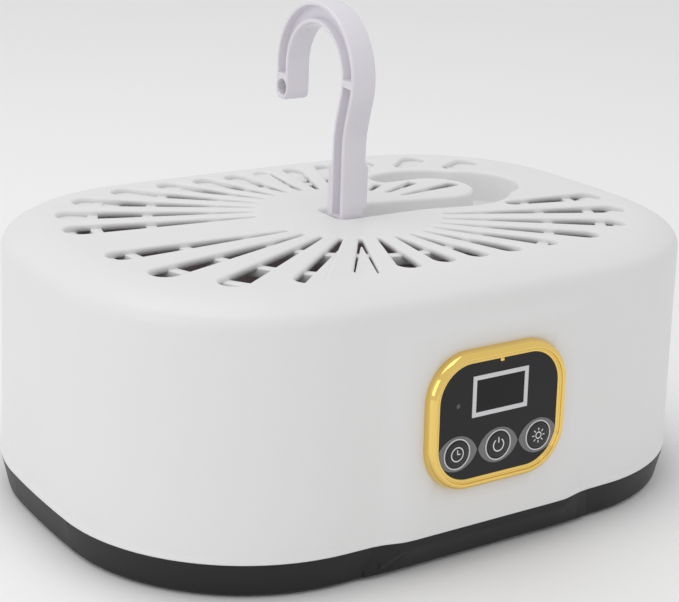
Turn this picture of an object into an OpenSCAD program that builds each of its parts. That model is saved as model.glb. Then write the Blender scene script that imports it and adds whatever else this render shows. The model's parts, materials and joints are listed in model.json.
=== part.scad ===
// Portable hanging clothes dryer head: a white vented housing on a black base tray, with a
// fold-down hanging hook, a gold-rimmed touch panel, and a fan and heater in a central duct.
// Millimetres. The origin is on the surface the dryer stands on, under the centre of the body.
// +X is the long way, the control panel faces -Y, +Z is up.

/* [Body] */
// Length of the body at the parting line
body_l = 280; // [268:1:310]
// Width of the body at the parting line
body_w = 200.6; // [194:0.2:216]
// Height of the top face above the surface it stands on
body_h = 111; // [106:1:126]
// Height of the parting line between the base tray and the shell
split_z = 14.4; // [13.6:0.2:18]
// Angle that half of a bowed long side turns through
side_bow = 1.6; // [1:0.1:2.4]
// Angle that half of a bowed short end turns through
end_bow = 3; // [2:0.2:5]
// Plan radius of the four corners
corner_r = 78; // [70:1:84]
// Wall thickness of the shell
wall = 2.6; // [2.2:0.1:3.2]
// Lean of the shell wall, in degrees
draft = 1.9; // [1:0.1:2.6]
// Radius between the wall and the top
rim_r = 7; // [5:0.5:8]
// Radius of the crowned band round the top
crown_r = 32; // [28:1:40]
// Width of the crowned band, from the parting outline inwards
crown_w = 23; // [20:0.5:25]

/* [Base tray] */
// How far the foot of the tray lies inside the parting outline
tray_inset = 2.5; // [1.5:0.1:4]
// Thickness of the tray wall and floor
tray_wall = 2.4; // [2:0.1:3]
// Height of the tongue that locates the shell
tongue_h = 3; // [2:0.2:4]
// Thickness of the tongue
tongue_t = 1.7; // [1.4:0.1:2]
// How far the rubber feet stand out below the tray
feet_h = 0.8; // [0.6:0.1:1.5]
// Radius of a rubber foot
feet_r = 6; // [5:0.5:8]

/* [Vents] */
// Number of slots in each half of the sunburst
vent_count = 14; // [12:1:15]
// Radius of the plain hub inside the slots
hub_r = 39; // [37:0.5:42]
// Distance of the slot ends from the parting outline
vent_inset = 24.3; // [23:0.1:28]
// Width of a slot at the hub
slot_root = 1.6; // [1.2:0.1:2]
// Width that a slot gains by its outer end, before its length counts
slot_gain = 5; // [3:0.5:6]
// Further width gained for each millimetre of its length
slot_flare = 0.06; // [0.03:0.01:0.08]
// Thickness of the vented top
top_t = 2.8; // [2.4:0.1:3.4]
// Depth of the bars under the top
bar_h = 3.8; // [3:0.2:5]
// Width of a ring bar
bar_w = 4.5; // [3:0.5:6]

/* [Hook] */
// Width of the hook across its flat outer face
hook_w = 11; // [10:0.5:13]
// Depth of the hook's section
hook_d = 8.8; // [8:0.2:9.4]
// Radius of the hook's bend, to the middle of its section
hook_bend_r = 24.4; // [23.6:0.2:26]
// Height of the bend's centre above the pivot
hook_rise = 61; // [58:1:64]
// How far the bend's centre lies behind the shank
hook_reach = 19.6; // [19:0.2:21]
// Lean of the neck, in degrees
hook_lean = 15; // [12:1:18]
// Length of the straight tip below the bend
tip_l = 15.2; // [12:0.2:17]
// Radius of the pivot pin
pin_r = 2; // [1.5:0.1:2.4]
// Clearance of the hook on its pin
pin_gap = 0.06; // [0.04:0.01:0.1]

/* [Panel] */
// Width of the gold bezel
bezel_w = 64.6; // [60:0.2:70]
// Height of the gold bezel
bezel_h = 54; // [50:0.2:58]
// Corner radius of the bezel
bezel_r = 18.5; // [16:0.5:21]
// How far the bezel stands out
bezel_t = 4.6; // [4:0.1:6]
// Height of the panel's centre
panel_z = 58; // [54:0.5:62]
// Distance between the keys
key_pitch = 19.3; // [17:0.1:20]
// Radius of a key cap
key_r = 5.4; // [5:0.1:5.8]
// Travel of a key
key_travel = 0.5; // [0.3:0.05:0.6]
// Width of the display window's silver frame
display_w = 26; // [22:0.5:28]
// Height of the display window's silver frame
display_h = 16; // [14:0.5:18]

/* [Fan and heater] */
// Inner radius of the duct
duct_r = 46; // [42:0.5:48]
// Wall thickness of the duct
duct_wall = 2; // [1.6:0.1:2.6]
// Height of the duct
duct_h = 62; // [58:1:66]
// Number of fan blades
blades = 7; // [5:1:9]
// Gap between the blade tips and the duct
tip_gap = 1.2; // [0.8:0.1:2]
// Radius of the fan hub
fan_hub_r = 16; // [14:0.5:18]
// Number of fins in each heater block
fins = 17; // [11:2:21]

/* [Hidden] */
$fn = 72;
eps = 0.01;

white = [0.93, 0.93, 0.93];
black = [0.10, 0.10, 0.11];
gold = [0.85, 0.65, 0.25];
lavender = [0.86, 0.84, 0.90];
steel = [0.7, 0.7, 0.72];
board_green = [0.1, 0.4, 0.25];

// ---- plan outline: two bowed sides, two bowed ends and four corner arcs, all tangent ----
half_l = body_l / 2;
half_w = body_w / 2;
end_a = end_bow;                        // direction in which the end meets the corner
side_a = 90 - side_bow;                 // direction in which the corner meets the side
flat_l = half_l - corner_r;
flat_w = half_w - corner_r;
// Both arcs touch the corner's arc. Their radii are rounded, which moves the joint by microns.
side_d = (flat_l - tan(end_bow / 2) * flat_w)
    / (sin(side_bow) - tan(end_bow / 2) * (1 - cos(side_bow)));
end_d = (flat_w - side_d * (1 - cos(side_bow))) / sin(end_bow);
side_r = round(10 * (side_d + corner_r)) / 10;
end_r = round(10 * (end_d + corner_r)) / 10;
side_c = half_w - side_r;               // the back side's arc is centred at (0, side_c)
end_c = half_l - end_r;                 // the right end's arc is centred at (end_c, 0)
corner_c = [end_c + (end_r - corner_r) * cos(end_a), (end_r - corner_r) * sin(end_a)];

function arc_points(c, r, a0, a1, n) =
    [for (i = [0 : n]) c + r * [cos(a0 + (a1 - a0) * i / n), sin(a0 + (a1 - a0) * i / n)]];
// A quarter of the outline as points, none of them where two arcs meet.
function quarter(inset) = concat(
    arc_points([end_c, 0], end_r - inset, 0, 0.8 * end_a, 2),
    arc_points(corner_c, corner_r - inset, end_a + 2, side_a - 2, 14),
    arc_points([0, side_c], side_r - inset, side_a + 0.2 * side_bow, 90, 3));
function flipped(points, sx, sy) = [for (p = points) [sx * p[0], sy * p[1]]];
function reversed(points) = [for (i = [len(points) - 1 : -1 : 0]) points[i]];
function outline(inset) = concat(quarter(inset), reversed(flipped(quarter(inset), -1, 1)),
    flipped(quarter(inset), -1, -1), reversed(flipped(quarter(inset), 1, -1)));

// Sweeps a profile round the outline: x is the distance outside it, y is the height. The corner
// sectors run into their neighbours, and lie a hair inside and above them so that no faces coincide.
seam = 0.02;
seam_a = 0.5;
module swept_corner(from_a) {
    rotate([0, 0, from_a - seam_a]) rotate_extrude(angle = side_a - end_a + 2 * seam_a, $fn = 96)
        translate([corner_r - seam, seam]) children();
}
module swept_round() {
    for (turn = [0, 180]) rotate([0, 0, turn]) {
        translate([end_c, 0, 0]) rotate([0, 0, -end_a])
            rotate_extrude(angle = 2 * end_a, $fn = 360) translate([end_r, 0]) children();
        translate([0, side_c, 0]) rotate([0, 0, side_a])
            rotate_extrude(angle = 180 - 2 * side_a, $fn = 1440) translate([side_r, 0]) children();
        translate(corner_c) swept_corner(end_a) children();
        translate([-corner_c[0], corner_c[1]]) swept_corner(180 - side_a) children();
    }
}

// A rectangle with round corners, as a list of points about its centre.
function round_rect(w, h, r) = concat(
    arc_points([w / 2 - r, h / 2 - r], r, 0, 90, 10), arc_points([r - w / 2, h / 2 - r], r, 90, 180, 10),
    arc_points([r - w / 2, r - h / 2], r, 180, 270, 10), arc_points([w / 2 - r, r - h / 2], r, 270, 360, 10));

// Sweeps a profile round a rectangle with round corners: x is the distance outside it.
module swept_rect(w, h, r) {
    for (k = [0 : 3]) {
        along = k % 2 == 0 ? h - 2 * r : w - 2 * r;
        out = k % 2 == 0 ? w / 2 : h / 2;
        side = k % 2 == 0 ? h / 2 - r : w / 2 - r;
        rotate([0, 0, 90 * k]) {
            translate([out, along / 2, 0]) rotate([90, 0, 0]) linear_extrude(along) children();
            translate([out - r, side, 0]) rotate_extrude(angle = 90) translate([r, 0]) children();
        }
    }
}

module tube(outer, inner, h) {
    difference() {
        cylinder(r = outer, h = h);
        translate([0, 0, -1]) cylinder(r = inner, h = h + 2);
    }
}

// ---- shell section: wall, rim radius and crowned band ----
lean = tan(draft);
crown_c = [-crown_w, body_h - crown_r];
wall_n = [cos(draft), sin(draft)];
wall_u = [-sin(draft), cos(draft)];
rim_foot = [0, split_z] - rim_r * wall_n;
rim_b = (rim_foot - crown_c) * wall_u;
rim_q = (rim_foot - crown_c) * (rim_foot - crown_c) - pow(crown_r - rim_r, 2);
rim_c = rim_foot + (sqrt(rim_b * rim_b - rim_q) - rim_b) * wall_u;
rim_a = atan2(rim_c[1] - crown_c[1], rim_c[0] - crown_c[0]);
plate_lap = 1;                          // flat strip that the swept band shares with the top plate
plate_drop = 0.03;                      // step between the band's top and the plate's
shell_section = concat([[0, split_z]],
    arc_points(rim_c, rim_r, draft, rim_a, 5), arc_points(crown_c, crown_r, rim_a + 5, 90, 4),
    [[-crown_w - plate_lap, body_h], [-crown_w - plate_lap, body_h - top_t]],
    arc_points(crown_c, crown_r - top_t, 90, rim_a + 5, 4),
    arc_points(rim_c, rim_r - wall, rim_a, draft, 3), [[-wall / cos(draft), split_z]]);

// ---- hook: outline in the plane of its bend, with the pivot at the origin and y up the shank ----
shank_y = -3;                           // middle of the shank, from the body's long axis
pivot_x = -3;
pivot_z = body_h - 0.7 - hook_w / 2;
bend_y = shank_y + hook_reach;
// Height of the knee where the upright shank starts to lean outwards.
knee = hook_rise - hook_bend_r * sin(hook_lean)
    - (hook_bend_r * cos(hook_lean) - hook_reach) / tan(hook_lean);
shank_swell = 2.4;                      // the lower shank is thicker behind by this much
lug_gap = 0.3;                          // play between the hook's foot and a lug
module hook_outline(depth) {
    shear = depth / 2 * tan(hook_lean / 2);
    bend_c = [hook_reach, hook_rise];
    polygon(concat(
        arc_points(bend_c, hook_bend_r + depth / 2, 0, 180 + hook_lean, 39),
        [[-depth / 2, knee - shear], [-depth / 2, 0], [depth / 2, 0], [depth / 2, knee + shear]],
        arc_points(bend_c, hook_bend_r - depth / 2, 180 + hook_lean, 0, 39),
        arc_points(bend_c + [hook_bend_r, depth / 2 - tip_l], depth / 2, 180, 360, 12)));
}

// ---- stowing recess in the top, in plan ----
bend_x = pivot_x + hook_rise;           // centre of the bend with the hook folded down
recess_y = bend_y + 2;
recess_r = hook_bend_r + hook_d / 2 + 3.7;
island_r = hook_bend_r - hook_d / 2 - 3;
scoop_r = recess_r - 11.5;
scoop_x = bend_x + 20;
shank_near = shank_y - hook_d / 2 - 1.5;
shank_far = shank_y + hook_d / 2 + 8;
recess_x0 = pivot_x - hook_w / 2 - 1;
tip_end_x = bend_x - tip_l - 1.8;
neck_x = bend_x - 27;
module recess_plan(grow) {
    difference() {
        union() {
            difference() {
                translate([bend_x, recess_y]) circle(r = recess_r + grow, $fn = 120);
                translate([-200, shank_near]) square([200 + tip_end_x - grow, 200]);
            }
            translate([scoop_x, recess_y]) circle(r = scoop_r + grow, $fn = 96);
            polygon([[recess_x0 - grow, shank_near - grow], [neck_x, shank_near - grow],
                [bend_x - 8, recess_y - recess_r + 0.9 - grow], [bend_x - 8, recess_y - 8],
                [neck_x, shank_far + grow], [recess_x0 - grow, shank_far + grow]]);
        }
        translate([bend_x, recess_y]) circle(r = island_r - grow, $fn = 96);
        polygon([[tip_end_x - 12, recess_y + island_r - grow], [bend_x, recess_y + island_r - grow],
            [bend_x, recess_y - island_r + grow], [16, shank_far + grow]]);
    }
}
recess_d = hook_w + 3.2;
tray_t = 1.8;
floor_z = body_h - recess_d;
// The far lug reaches from the recess's wall to the hook's foot.
lug_y0 = shank_y + hook_d / 2 + shank_swell + lug_gap;
lug_t = shank_far + tray_t / 2 - lug_y0;
lug_w = hook_w + 4;
near_boss_y0 = shank_near - tray_t / 3;
near_boss_h = shank_y - hook_d / 2 - lug_gap - near_boss_y0;

// ---- sunburst of vent slots ----
function to_arc(u, c, r) = let (m = u * c) m + sqrt(m * m - c * c + r * r);
function reach(a, inset) = let (
    u = [abs(cos(a)), abs(sin(a))],
    corner_side = corner_c + (corner_r - inset) * [cos(side_a), sin(side_a)],
    corner_end = corner_c + (corner_r - inset) * [cos(end_a), sin(end_a)],
    t = atan2(u[1], u[0]))
    t > atan2(corner_side[1], corner_side[0]) ? to_arc(u, [0, side_c], side_r - inset)
    : t < atan2(corner_end[1], corner_end[0]) ? to_arc(u, [end_c, 0], end_r - inset)
    : to_arc(u, corner_c, corner_r - inset);
hub_step = 11;
last = vent_count - 1;
// Angles from -X at the hub and at the rim. The front row is bowed towards the middle.
function front_hub(k) = 180 + 19 + hub_step * k;
function front_rim(k) = 180 + 7 + 12.4 * k + 5 * sin(180 * k / last);
function back_hub(k) = 180 - 16 - hub_step * k;
function back_rim(k) = 180 - 12.4 - 11.78 * k + 3 * sin(180 * k / last);
function slot_ends(hub_a, rim_a) = [hub_r * [cos(hub_a), sin(hub_a)],
    reach(rim_a, vent_inset) * [cos(rim_a), sin(rim_a)]];
// A slot from p to q that widens from w0 to w1 and ends in a half circle within q.
module slot(p, q, w0, w1) {
    turn = atan2(q[1] - p[1], q[0] - p[0]);
    translate(p) rotate(turn) polygon(concat(
        arc_points([w0 / 2, 0], w0 / 2, 90, 270, 6),
        arc_points([norm(q - p) - w1 / 2, 0], w1 / 2, -90, 90, 10)));
}
module vents() {
    for (k = [0 : last], row = [0, 1]) {
        ends = row == 0 ? slot_ends(front_hub(k), front_rim(k)) : slot_ends(back_hub(k), back_rim(k));
        slot(ends[0], ends[1], slot_root, slot_root + slot_gain + slot_flare * norm(ends[1] - ends[0]));
    }
}
// Plates that blank the middle of two front slots, just under the top.
module slot_blanks() {
    for (k = [3, 4]) {
        ends = slot_ends(front_hub(k), front_rim(k));
        shift = k == 3 ? 2.2 : 0;
        side = (ends[1] - ends[0]) / norm(ends[1] - ends[0]);
        move = shift * [-side[1], side[0]];
        slot(ends[0] + 16 * side + move, ends[1] + side * 3 + move, 0.8, 9 - shift);
    }
}
ring_radii = [hub_r + 17, hub_r + 43, hub_r + 65];
bar_top = body_h - top_t + 0.2;

// ---- bosses, screws and the panel's frame ----
board_t = 1.6;                          // thickness of every circuit board
boss_r = 5;
boss_at = [for (sx = [-1, 1], sy = [-1, 1]) [sx * (half_l - 24), sy * (half_w - 45.3)]];
screw_r = 1.5;
boss_foot = feet_h + tray_wall + 5;
pad_out = 2;                            // how far the flat pad stands out of the bowed front
pad_w = bezel_w + 11.4;
pad_side = 10;
pad_top = panel_z + 34;
pad_y = -half_w - pad_out;
panel_y = pad_y + lean * (panel_z - split_z);
module at_panel() {
    translate([0, panel_y, panel_z]) rotate([90 - draft, 0, 0]) children();
}
face_w = bezel_w - 8;
face_h = bezel_h - 8;
face_r = bezel_r - 4;
face_z0 = 1.6;
face_z1 = 3.2;
frame_band = 1.7;                       // width of the display's silver frame
window_in = 9.4;                        // middle of the display above the panel's centre
key_y = -11.6;
key_hole_r = key_r + 0.8;
cut_w = face_w - 6;
cut_h = face_h - 6;

module front_pad(z0, z2) {
    intersection() {
        translate([0, 0, z0]) linear_extrude(z2 - z0) polygon([[-pad_w / 2 - pad_side, -half_w + 3],
            [-pad_w / 2 - pad_side, -half_w + 1.1], [-pad_w / 2, pad_y], [pad_w / 2, pad_y],
            [pad_w / 2 + pad_side, -half_w + 1.1], [pad_w / 2 + pad_side, -half_w + 3]]);
        rotate([90, 0, 90]) translate([0, 0, -pad_w]) linear_extrude(2 * pad_w) children();
    }
}

module under_top(z, h) {
    translate([0, 0, z]) linear_extrude(h) children();
}
module top_shell() color(white) {
    difference() {
        union() {
            swept_round() polygon(shell_section);
            under_top(body_h - top_t - plate_drop, top_t) difference() {
                polygon(outline(crown_w + plate_lap / 2));
                vents();
            }
            for (r = ring_radii) intersection() {
                under_top(bar_top - bar_h, bar_h) polygon(outline(crown_w + 0.8));
                translate([0, 0, bar_top - bar_h - 1]) tube(r + bar_w / 2, r - bar_w / 2, bar_h + 2);
            }
            under_top(bar_top - bar_h - 0.1, bar_h) difference() {
                polygon(outline(crown_w + 0.7));
                polygon(outline(vent_inset + 6.5));
            }
            under_top(floor_z - tray_t, recess_d + tray_t - 2 * plate_drop) recess_plan(tray_t);
            front_pad(split_z, body_h) polygon([[pad_y, split_z],
                [pad_y + lean * (pad_top - split_z), pad_top], [-half_w + 4.6, pad_top + 7],
                [-half_w + 4, pad_top + 2], [-half_w + 1.3, split_z]]);
        }
        under_top(floor_z, recess_d + 5) recess_plan(0);
        translate([pivot_x, shank_near - 4 * tray_t, pivot_z]) rotate([-90, 0, 0])
            cylinder(r = pin_r, h = 5 * tray_t);
        at_panel() translate([0, 0, -12]) linear_extrude(20) polygon(round_rect(cut_w, cut_h, face_r - 3));
    }
    translate([0, 0, bar_top - 1.6]) linear_extrude(1.6) slot_blanks();
    // Far lug of the pivot and the near boss, on both sides of the hook's foot.
    difference() {
        translate([recess_x0 - tray_t / 2, lug_y0, floor_z - tray_t / 2])
            cube([lug_w, lug_t, recess_d - 1.5]);
        translate([pivot_x, 0, pivot_z]) rotate([-90, 0, 0]) cylinder(r = pin_r, h = 40);
    }
    translate([pivot_x, near_boss_y0, pivot_z]) rotate([-90, 0, 0]) tube(pin_r + 2, pin_r, near_boss_h);
    // Screw bosses.
    for (p = boss_at) translate([p[0], p[1], boss_foot]) difference() {
        cylinder(r = boss_r, h = body_h - top_t - 0.9 - boss_foot);
        translate([0, 0, -1]) cylinder(r = screw_r - 0.2, h = 15);
    }
}

module base_tray() color(black) {
    z0 = feet_h;
    pad_step = split_z - plate_drop;
    root = 0.5;                         // how far a post runs into the floor
    difference() {
        union() {
            swept_round() polygon([[-tray_inset - 1.2, z0], [-tray_inset, z0 + 1.2], [0, split_z],
                [-wall - 0.3, split_z], [-wall - 0.3, split_z + tongue_h],
                [-wall - 0.3 - tongue_t, split_z + tongue_h], [-wall - 0.3 - tongue_t, z0 + tray_wall],
                [-8, z0 + tray_wall], [-8, z0]]);
            translate([0, 0, z0 + plate_drop]) linear_extrude(tray_wall - 2 * plate_drop) polygon(outline(7));
            front_pad(z0, split_z) polygon([[pad_y, pad_step], [pad_y, split_z - 3],
                [-half_w + tray_inset, z0 + 1], [-half_w + 4, z0 + 1], [-half_w + 2, pad_step]]);
            for (p = boss_at) translate([p[0], p[1], z0 + 2 * plate_drop])
                cylinder(r = boss_r + 1.5, h = boss_foot - z0 - 2 * plate_drop);
            for (p = board_posts) translate([p[0], p[1], floor_top - root])
                cylinder(r = 3, h = board_z - floor_top + root);
            for (p = duct_screws) translate([p[0], p[1], floor_top - root])
                cylinder(r = 3.5, h = duct_z - floor_top + root);
        }
        translate([0, 0, z0 - 1]) cylinder(r = outlet_r, h = tray_wall + 2);
        for (p = boss_at) translate([p[0], p[1], 0]) {
            cylinder(r = screw_r + 0.2, h = boss_foot + 1);
            cylinder(r = 3.4, h = boss_foot - 2.4);
        }
        for (p = feet_at) translate([p[0], p[1], z0 - 1]) cylinder(r = feet_r + 0.2, h = 1.8);
        for (p = board_posts) translate([p[0], p[1], z0 + 1.2]) cylinder(r = 1.05, h = board_z);
        for (p = duct_screws) translate([p[0], p[1], z0 + 1.2]) cylinder(r = 1.05, h = duct_z);
        translate([gland_x, gland_y + 20, gland_z]) rotate([90, 0, 0]) cylinder(r = gland_r + 1.2, h = 20);
        translate([gland_x, gland_y + 5, gland_z]) rotate([90, 0, 0]) cylinder(r = gland_r, h = 20);
    }
}

outlet_r = duct_r - 2;
floor_top = feet_h + tray_wall;
duct_z = 8;
board_z = 9;
board_top = board_z + board_t;
board_x0 = 17 - half_l;                 // left edge of the main board
board_side = 62;
board_posts = [for (x = [5, board_side - 5], y = [-26, 26]) [board_x0 + x, y]];
feet_at = [for (sx = [-1, 1], sy = [-1, 1]) [sx * (half_l - 48), sy * (half_w - 38.3)]];
gland_x = -50;
gland_z = 8.4;
gland_y = half_w - 1.8;                  // flat seat of the gland's flange
gland_nose = 7.8;
gland_r = 3.9;
gland_bore = 2.8;

module outlet_grille() color(black) {
    z0 = feet_h + 0.4;
    ring_gap = (outlet_r - 4) / 4;
    for (k = [1 : 4]) translate([0, 0, z0]) tube(k * ring_gap + 1, k * ring_gap - 1, tray_wall + 0.6);
    for (a = [0 : 45 : 359]) rotate([0, 0, a])
        translate([ring_gap - 0.5, -1, z0]) cube([outlet_r - ring_gap - 0.2, 2, tray_wall]);
    translate([0, 0, z0]) tube(outlet_r - 0.3, outlet_r - 2.5, tray_wall + 0.6);
    translate([0, 0, floor_top]) tube(outlet_r + 1.7, outlet_r - 2.5, 1.6);
    translate([0, 0, z0]) cylinder(r = 3, h = tray_wall);
    for (a = [0, 90]) rotate([0, 0, a]) translate([-ring_gap, -1, z0]) cube([2 * ring_gap, 2, tray_wall]);
}

module hanging_hook() color(lavender) {
    rim = 1.9;
    web = 3.4;
    swell_h = 27;
    swell_side = 1.5;
    socket_r = 3.3;
    translate([pivot_x, shank_y, pivot_z]) difference() {
        union() {
            translate([-hook_w / 2, 0, 0]) rotate([90, 0, 90]) linear_extrude(hook_w) hook_outline(hook_d);
            translate([0, hook_d / 2, 0]) rotate([90, 0, 0]) cylinder(r = hook_w / 2, h = hook_d);
            // The lower shank is thicker behind and on its right.
            translate([-hook_w / 2, hook_d / 2 - eps, 0]) cube([hook_w, shank_swell, swell_h]);
            translate([0, hook_d / 2 + shank_swell, 0]) rotate([90, 0, 0])
                cylinder(r = hook_w / 2, h = shank_swell + 0.1);
            translate([hook_w / 2 - eps, -hook_d / 2 + 0.6, swell_h / 3])
                cube([swell_side, hook_d, swell_h - swell_h / 3]);
        }
        // Channels on both flat sides leave a web between two rims.
        for (side = [-1, 1]) translate([side > 0 ? web / 2 : -hook_w / 2 - 1, 0, 0]) difference() {
            rotate([90, 0, 90]) linear_extrude(hook_w / 2 + 1 - web / 2) hook_outline(hook_d - 2 * rim);
            translate([-1, -10, -20])
                cube([hook_w + 2, 20, 20 + (side > 0 ? swell_h + 3 : hook_w / 2 + 0.5)]);
            translate([-1, -20, hook_rise - 2]) cube([hook_w + 2, 24, 3]);
            translate([-1, hook_reach, hook_rise - tip_l]) cube([hook_w + 2, 40, tip_l - 4]);
        }
        // Round socket in the tip.
        translate([-hook_w / 2 - 1, hook_reach + hook_bend_r, hook_rise - tip_l + socket_r + 2.1])
            rotate([0, 90, 0]) cylinder(r = socket_r, h = hook_w - 1);
        translate([0, 2 * hook_d, 0]) rotate([90, 0, 0]) cylinder(r = pin_r + pin_gap, h = 4 * hook_d);
    }
}

module hook_pivot_pin() color(steel) {
    y0 = shank_near - tray_t;
    translate([pivot_x, y0, pivot_z]) rotate([-90, 0, 0]) cylinder(r = pin_r, h = shank_far - y0);
}

module panel_bezel() color(gold) at_panel() {
    swept_rect(bezel_w, bezel_h, bezel_r) polygon([[0, 0], [0, 0.8], [-0.5, 2.4], [-1.4, 3.8],
        [-2.3, 4.5], [-2.9, bezel_t], [-3.4, 4.3], [-3.6, 3.9], [-4.1, 3.9], [-4.5, 3.7],
        [-4.6, face_z1], [-3.6, face_z1], [-3.6, 0]]);
}

post_y = cut_h / 2 - 4;
post_at = [[7.3 - cut_w / 2, post_y], [cut_w / 2 - 7.3, post_y], [-key_pitch / 2, -post_y],
    [key_pitch / 2, -post_y]];
led_y = 7;
module panel_faceplate() color(black) at_panel() {
    for (p = post_at) translate([p[0], p[1], control_z + board_t])
        tube(2.4, 1, face_z0 - control_z - board_t + 0.2);
    difference() {
        linear_extrude(face_z1 - eps) polygon(round_rect(face_w, face_h, face_r));
        translate([0, 0, -1]) linear_extrude(face_z0 + 1)
            polygon(round_rect(face_w - 5, face_h - 5, face_r - 2.5));
        for (k = [-1 : 1]) translate([k * key_pitch, key_y, 0]) cylinder(r = key_hole_r, h = 5);
        translate([frame_band - display_w / 2, window_in - display_h / 2 + frame_band, 0])
            cube([display_w - 2 * frame_band, display_h - 2 * frame_band, 5]);
        translate([-key_pitch, led_y, 0]) cylinder(r = 0.9, h = 5);
    }
}

module key_rings() color(steel) at_panel()
    for (k = [-1 : 1]) translate([k * key_pitch, key_y, face_z0])
        tube(key_hole_r - 0.02, key_r + 0.06, face_z1 - face_z0 + 0.35);

module display_frame() color([0.8, 0.8, 0.82]) at_panel() translate([0, window_in, face_z1 - 0.005])
    linear_extrude(0.25) difference() {
        square([display_w, display_h], center = true);
        square([display_w - 2 * frame_band, display_h - 2 * frame_band], center = true);
    }

module display_window() color([0.15, 0.15, 0.16, 0.8]) at_panel() translate([0, window_in, face_z0])
    linear_extrude(face_z1 - face_z0)
        square([display_w - 2 * frame_band - 0.04, display_h - 2 * frame_band - 0.04], center = true);

stem_r = 2.4;
switch_top = -1.6;
module key_cap(k) color(black) at_panel() translate([k * key_pitch, key_y, 0]) {
    translate([0, 0, face_z0 + 0.2]) cylinder(r = key_r, h = face_z1 - face_z0 + 0.3);
    translate([0, 0, switch_top + key_travel + 0.05]) cylinder(r = stem_r, h = face_z0 - switch_top);
    translate([0, 0, face_z0 - 0.9]) cylinder(r = key_r + 0.5, h = 0.6);
}
module timer_key() key_cap(-1);
module power_key() key_cap(0);
module sterilise_key() key_cap(1);

module status_led() color([0.7, 0.7, 0.7]) at_panel() translate([-key_pitch, led_y, 0]) {
    translate([0, 0, control_z + board_t]) cylinder(r = 1.4, h = face_z0 - control_z - board_t - 0.1);
    cylinder(r = 0.88, h = face_z1 - 0.1);
}

control_z = -7.6;
control_w = face_w - 7.4;
control_h = face_h - 8;
module control_board() color(board_green) at_panel() {
    difference() {
        translate([-control_w / 2, -control_h / 2, control_z]) cube([control_w, control_h, board_t]);
        for (p = post_at) translate([p[0], p[1], control_z - 1]) cylinder(r = 1.15, h = 4);
    }
}
module control_board_screws() color(steel) at_panel()
    for (p = post_at) translate([p[0], p[1], control_z - 1]) {
        cylinder(r = 2.2, h = 1);
        cylinder(r = 1, h = 7);
    }

module display_module() color([0.2, 0.2, 0.2]) at_panel()
    translate([2 - display_w / 2, window_in + 2 - display_h / 2, control_z + board_t])
        cube([display_w - 4, display_h - 4, face_z0 - control_z - board_t - 0.2]);

module tact_switches() color([0.25, 0.25, 0.27]) at_panel()
    for (k = [-1 : 1]) translate([k * key_pitch, key_y, control_z + board_t]) {
        translate([-3, -3, 0]) cube([6, 6, 3.4]);
        cylinder(r = 1.7, h = switch_top - control_z - board_t);
    }

duct_wall_r = duct_r + duct_wall;
motor_h = 16;
motor_z = duct_z + duct_h - motor_h - 7;
motor_r = 14.5;
arm_z = motor_z + motor_h;             // underside of the four arms that carry the motor
duct_screws = [for (a = [45 : 90 : 359]) (duct_wall_r + 5) * [cos(a), sin(a)]];
module fan_duct() color([0.75, 0.75, 0.76]) {
    difference() {
        union() {
            translate([0, 0, floor_top]) tube(duct_wall_r, duct_r, duct_z + duct_h - floor_top);
            for (a = [45 : 90 : 359]) rotate([0, 0, a]) translate([duct_wall_r + 3, 0, duct_z]) {
                cylinder(r = 5.5, h = 3);
                translate([-4, -2, 0]) cube([3, 4, 14]);
            }
            for (a = [0 : 90 : 359]) rotate([0, 0, a])
                translate([motor_r - 0.5, -3, arm_z]) cube([duct_wall_r - motor_r - 0.5, 6, 4]);
            translate([0, 0, arm_z]) cylinder(r = motor_r + 2.5, h = 3);
        }
        for (p = duct_screws) translate([p[0], p[1], duct_z - 1]) cylinder(r = 1.3, h = 5);
        translate([duct_r - 4, -19, duct_z + 4]) cube([12, 38, 16]);
        translate([-duct_wall_r - 2, heater_lead_y, heat_z + heat_h / 2]) rotate([0, 90, 0])
            cylinder(r = 2, h = 8);
    }
}
module fan_motor() color(steel) translate([0, 0, motor_z]) tube(motor_r, shaft_r + 0.06, motor_h);
shaft_r = 1.5;
module fan_impeller() color([0.2, 0.2, 0.22]) {
    z0 = motor_z - 14;
    translate([0, 0, z0]) difference() {
        cylinder(r = fan_hub_r, h = 12);
        translate([0, 0, 2]) tube(fan_hub_r - 1.6, 4, 12);
    }
    translate([0, 0, z0 + 4]) cylinder(r = shaft_r, h = 24);
    intersection() {
        translate([0, 0, z0]) cylinder(r = duct_r - tip_gap, h = 14);
        for (k = [0 : blades - 1]) rotate([0, 0, k * 360 / blades]) translate([fan_hub_r - 0.8, 0, z0 + 6])
            rotate([38, 0, 0]) translate([0, -7.5, -0.9]) cube([duct_r - fan_hub_r, 15, 1.8]);
    }
}
module fan_screws() color(steel)
    for (p = duct_screws) translate([p[0], p[1], duct_z + 3]) {
        cylinder(r = 2.4, h = 1.8);
        translate([0, 0, -6.5]) cylinder(r = 1.05, h = 6.6);
    }

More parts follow.
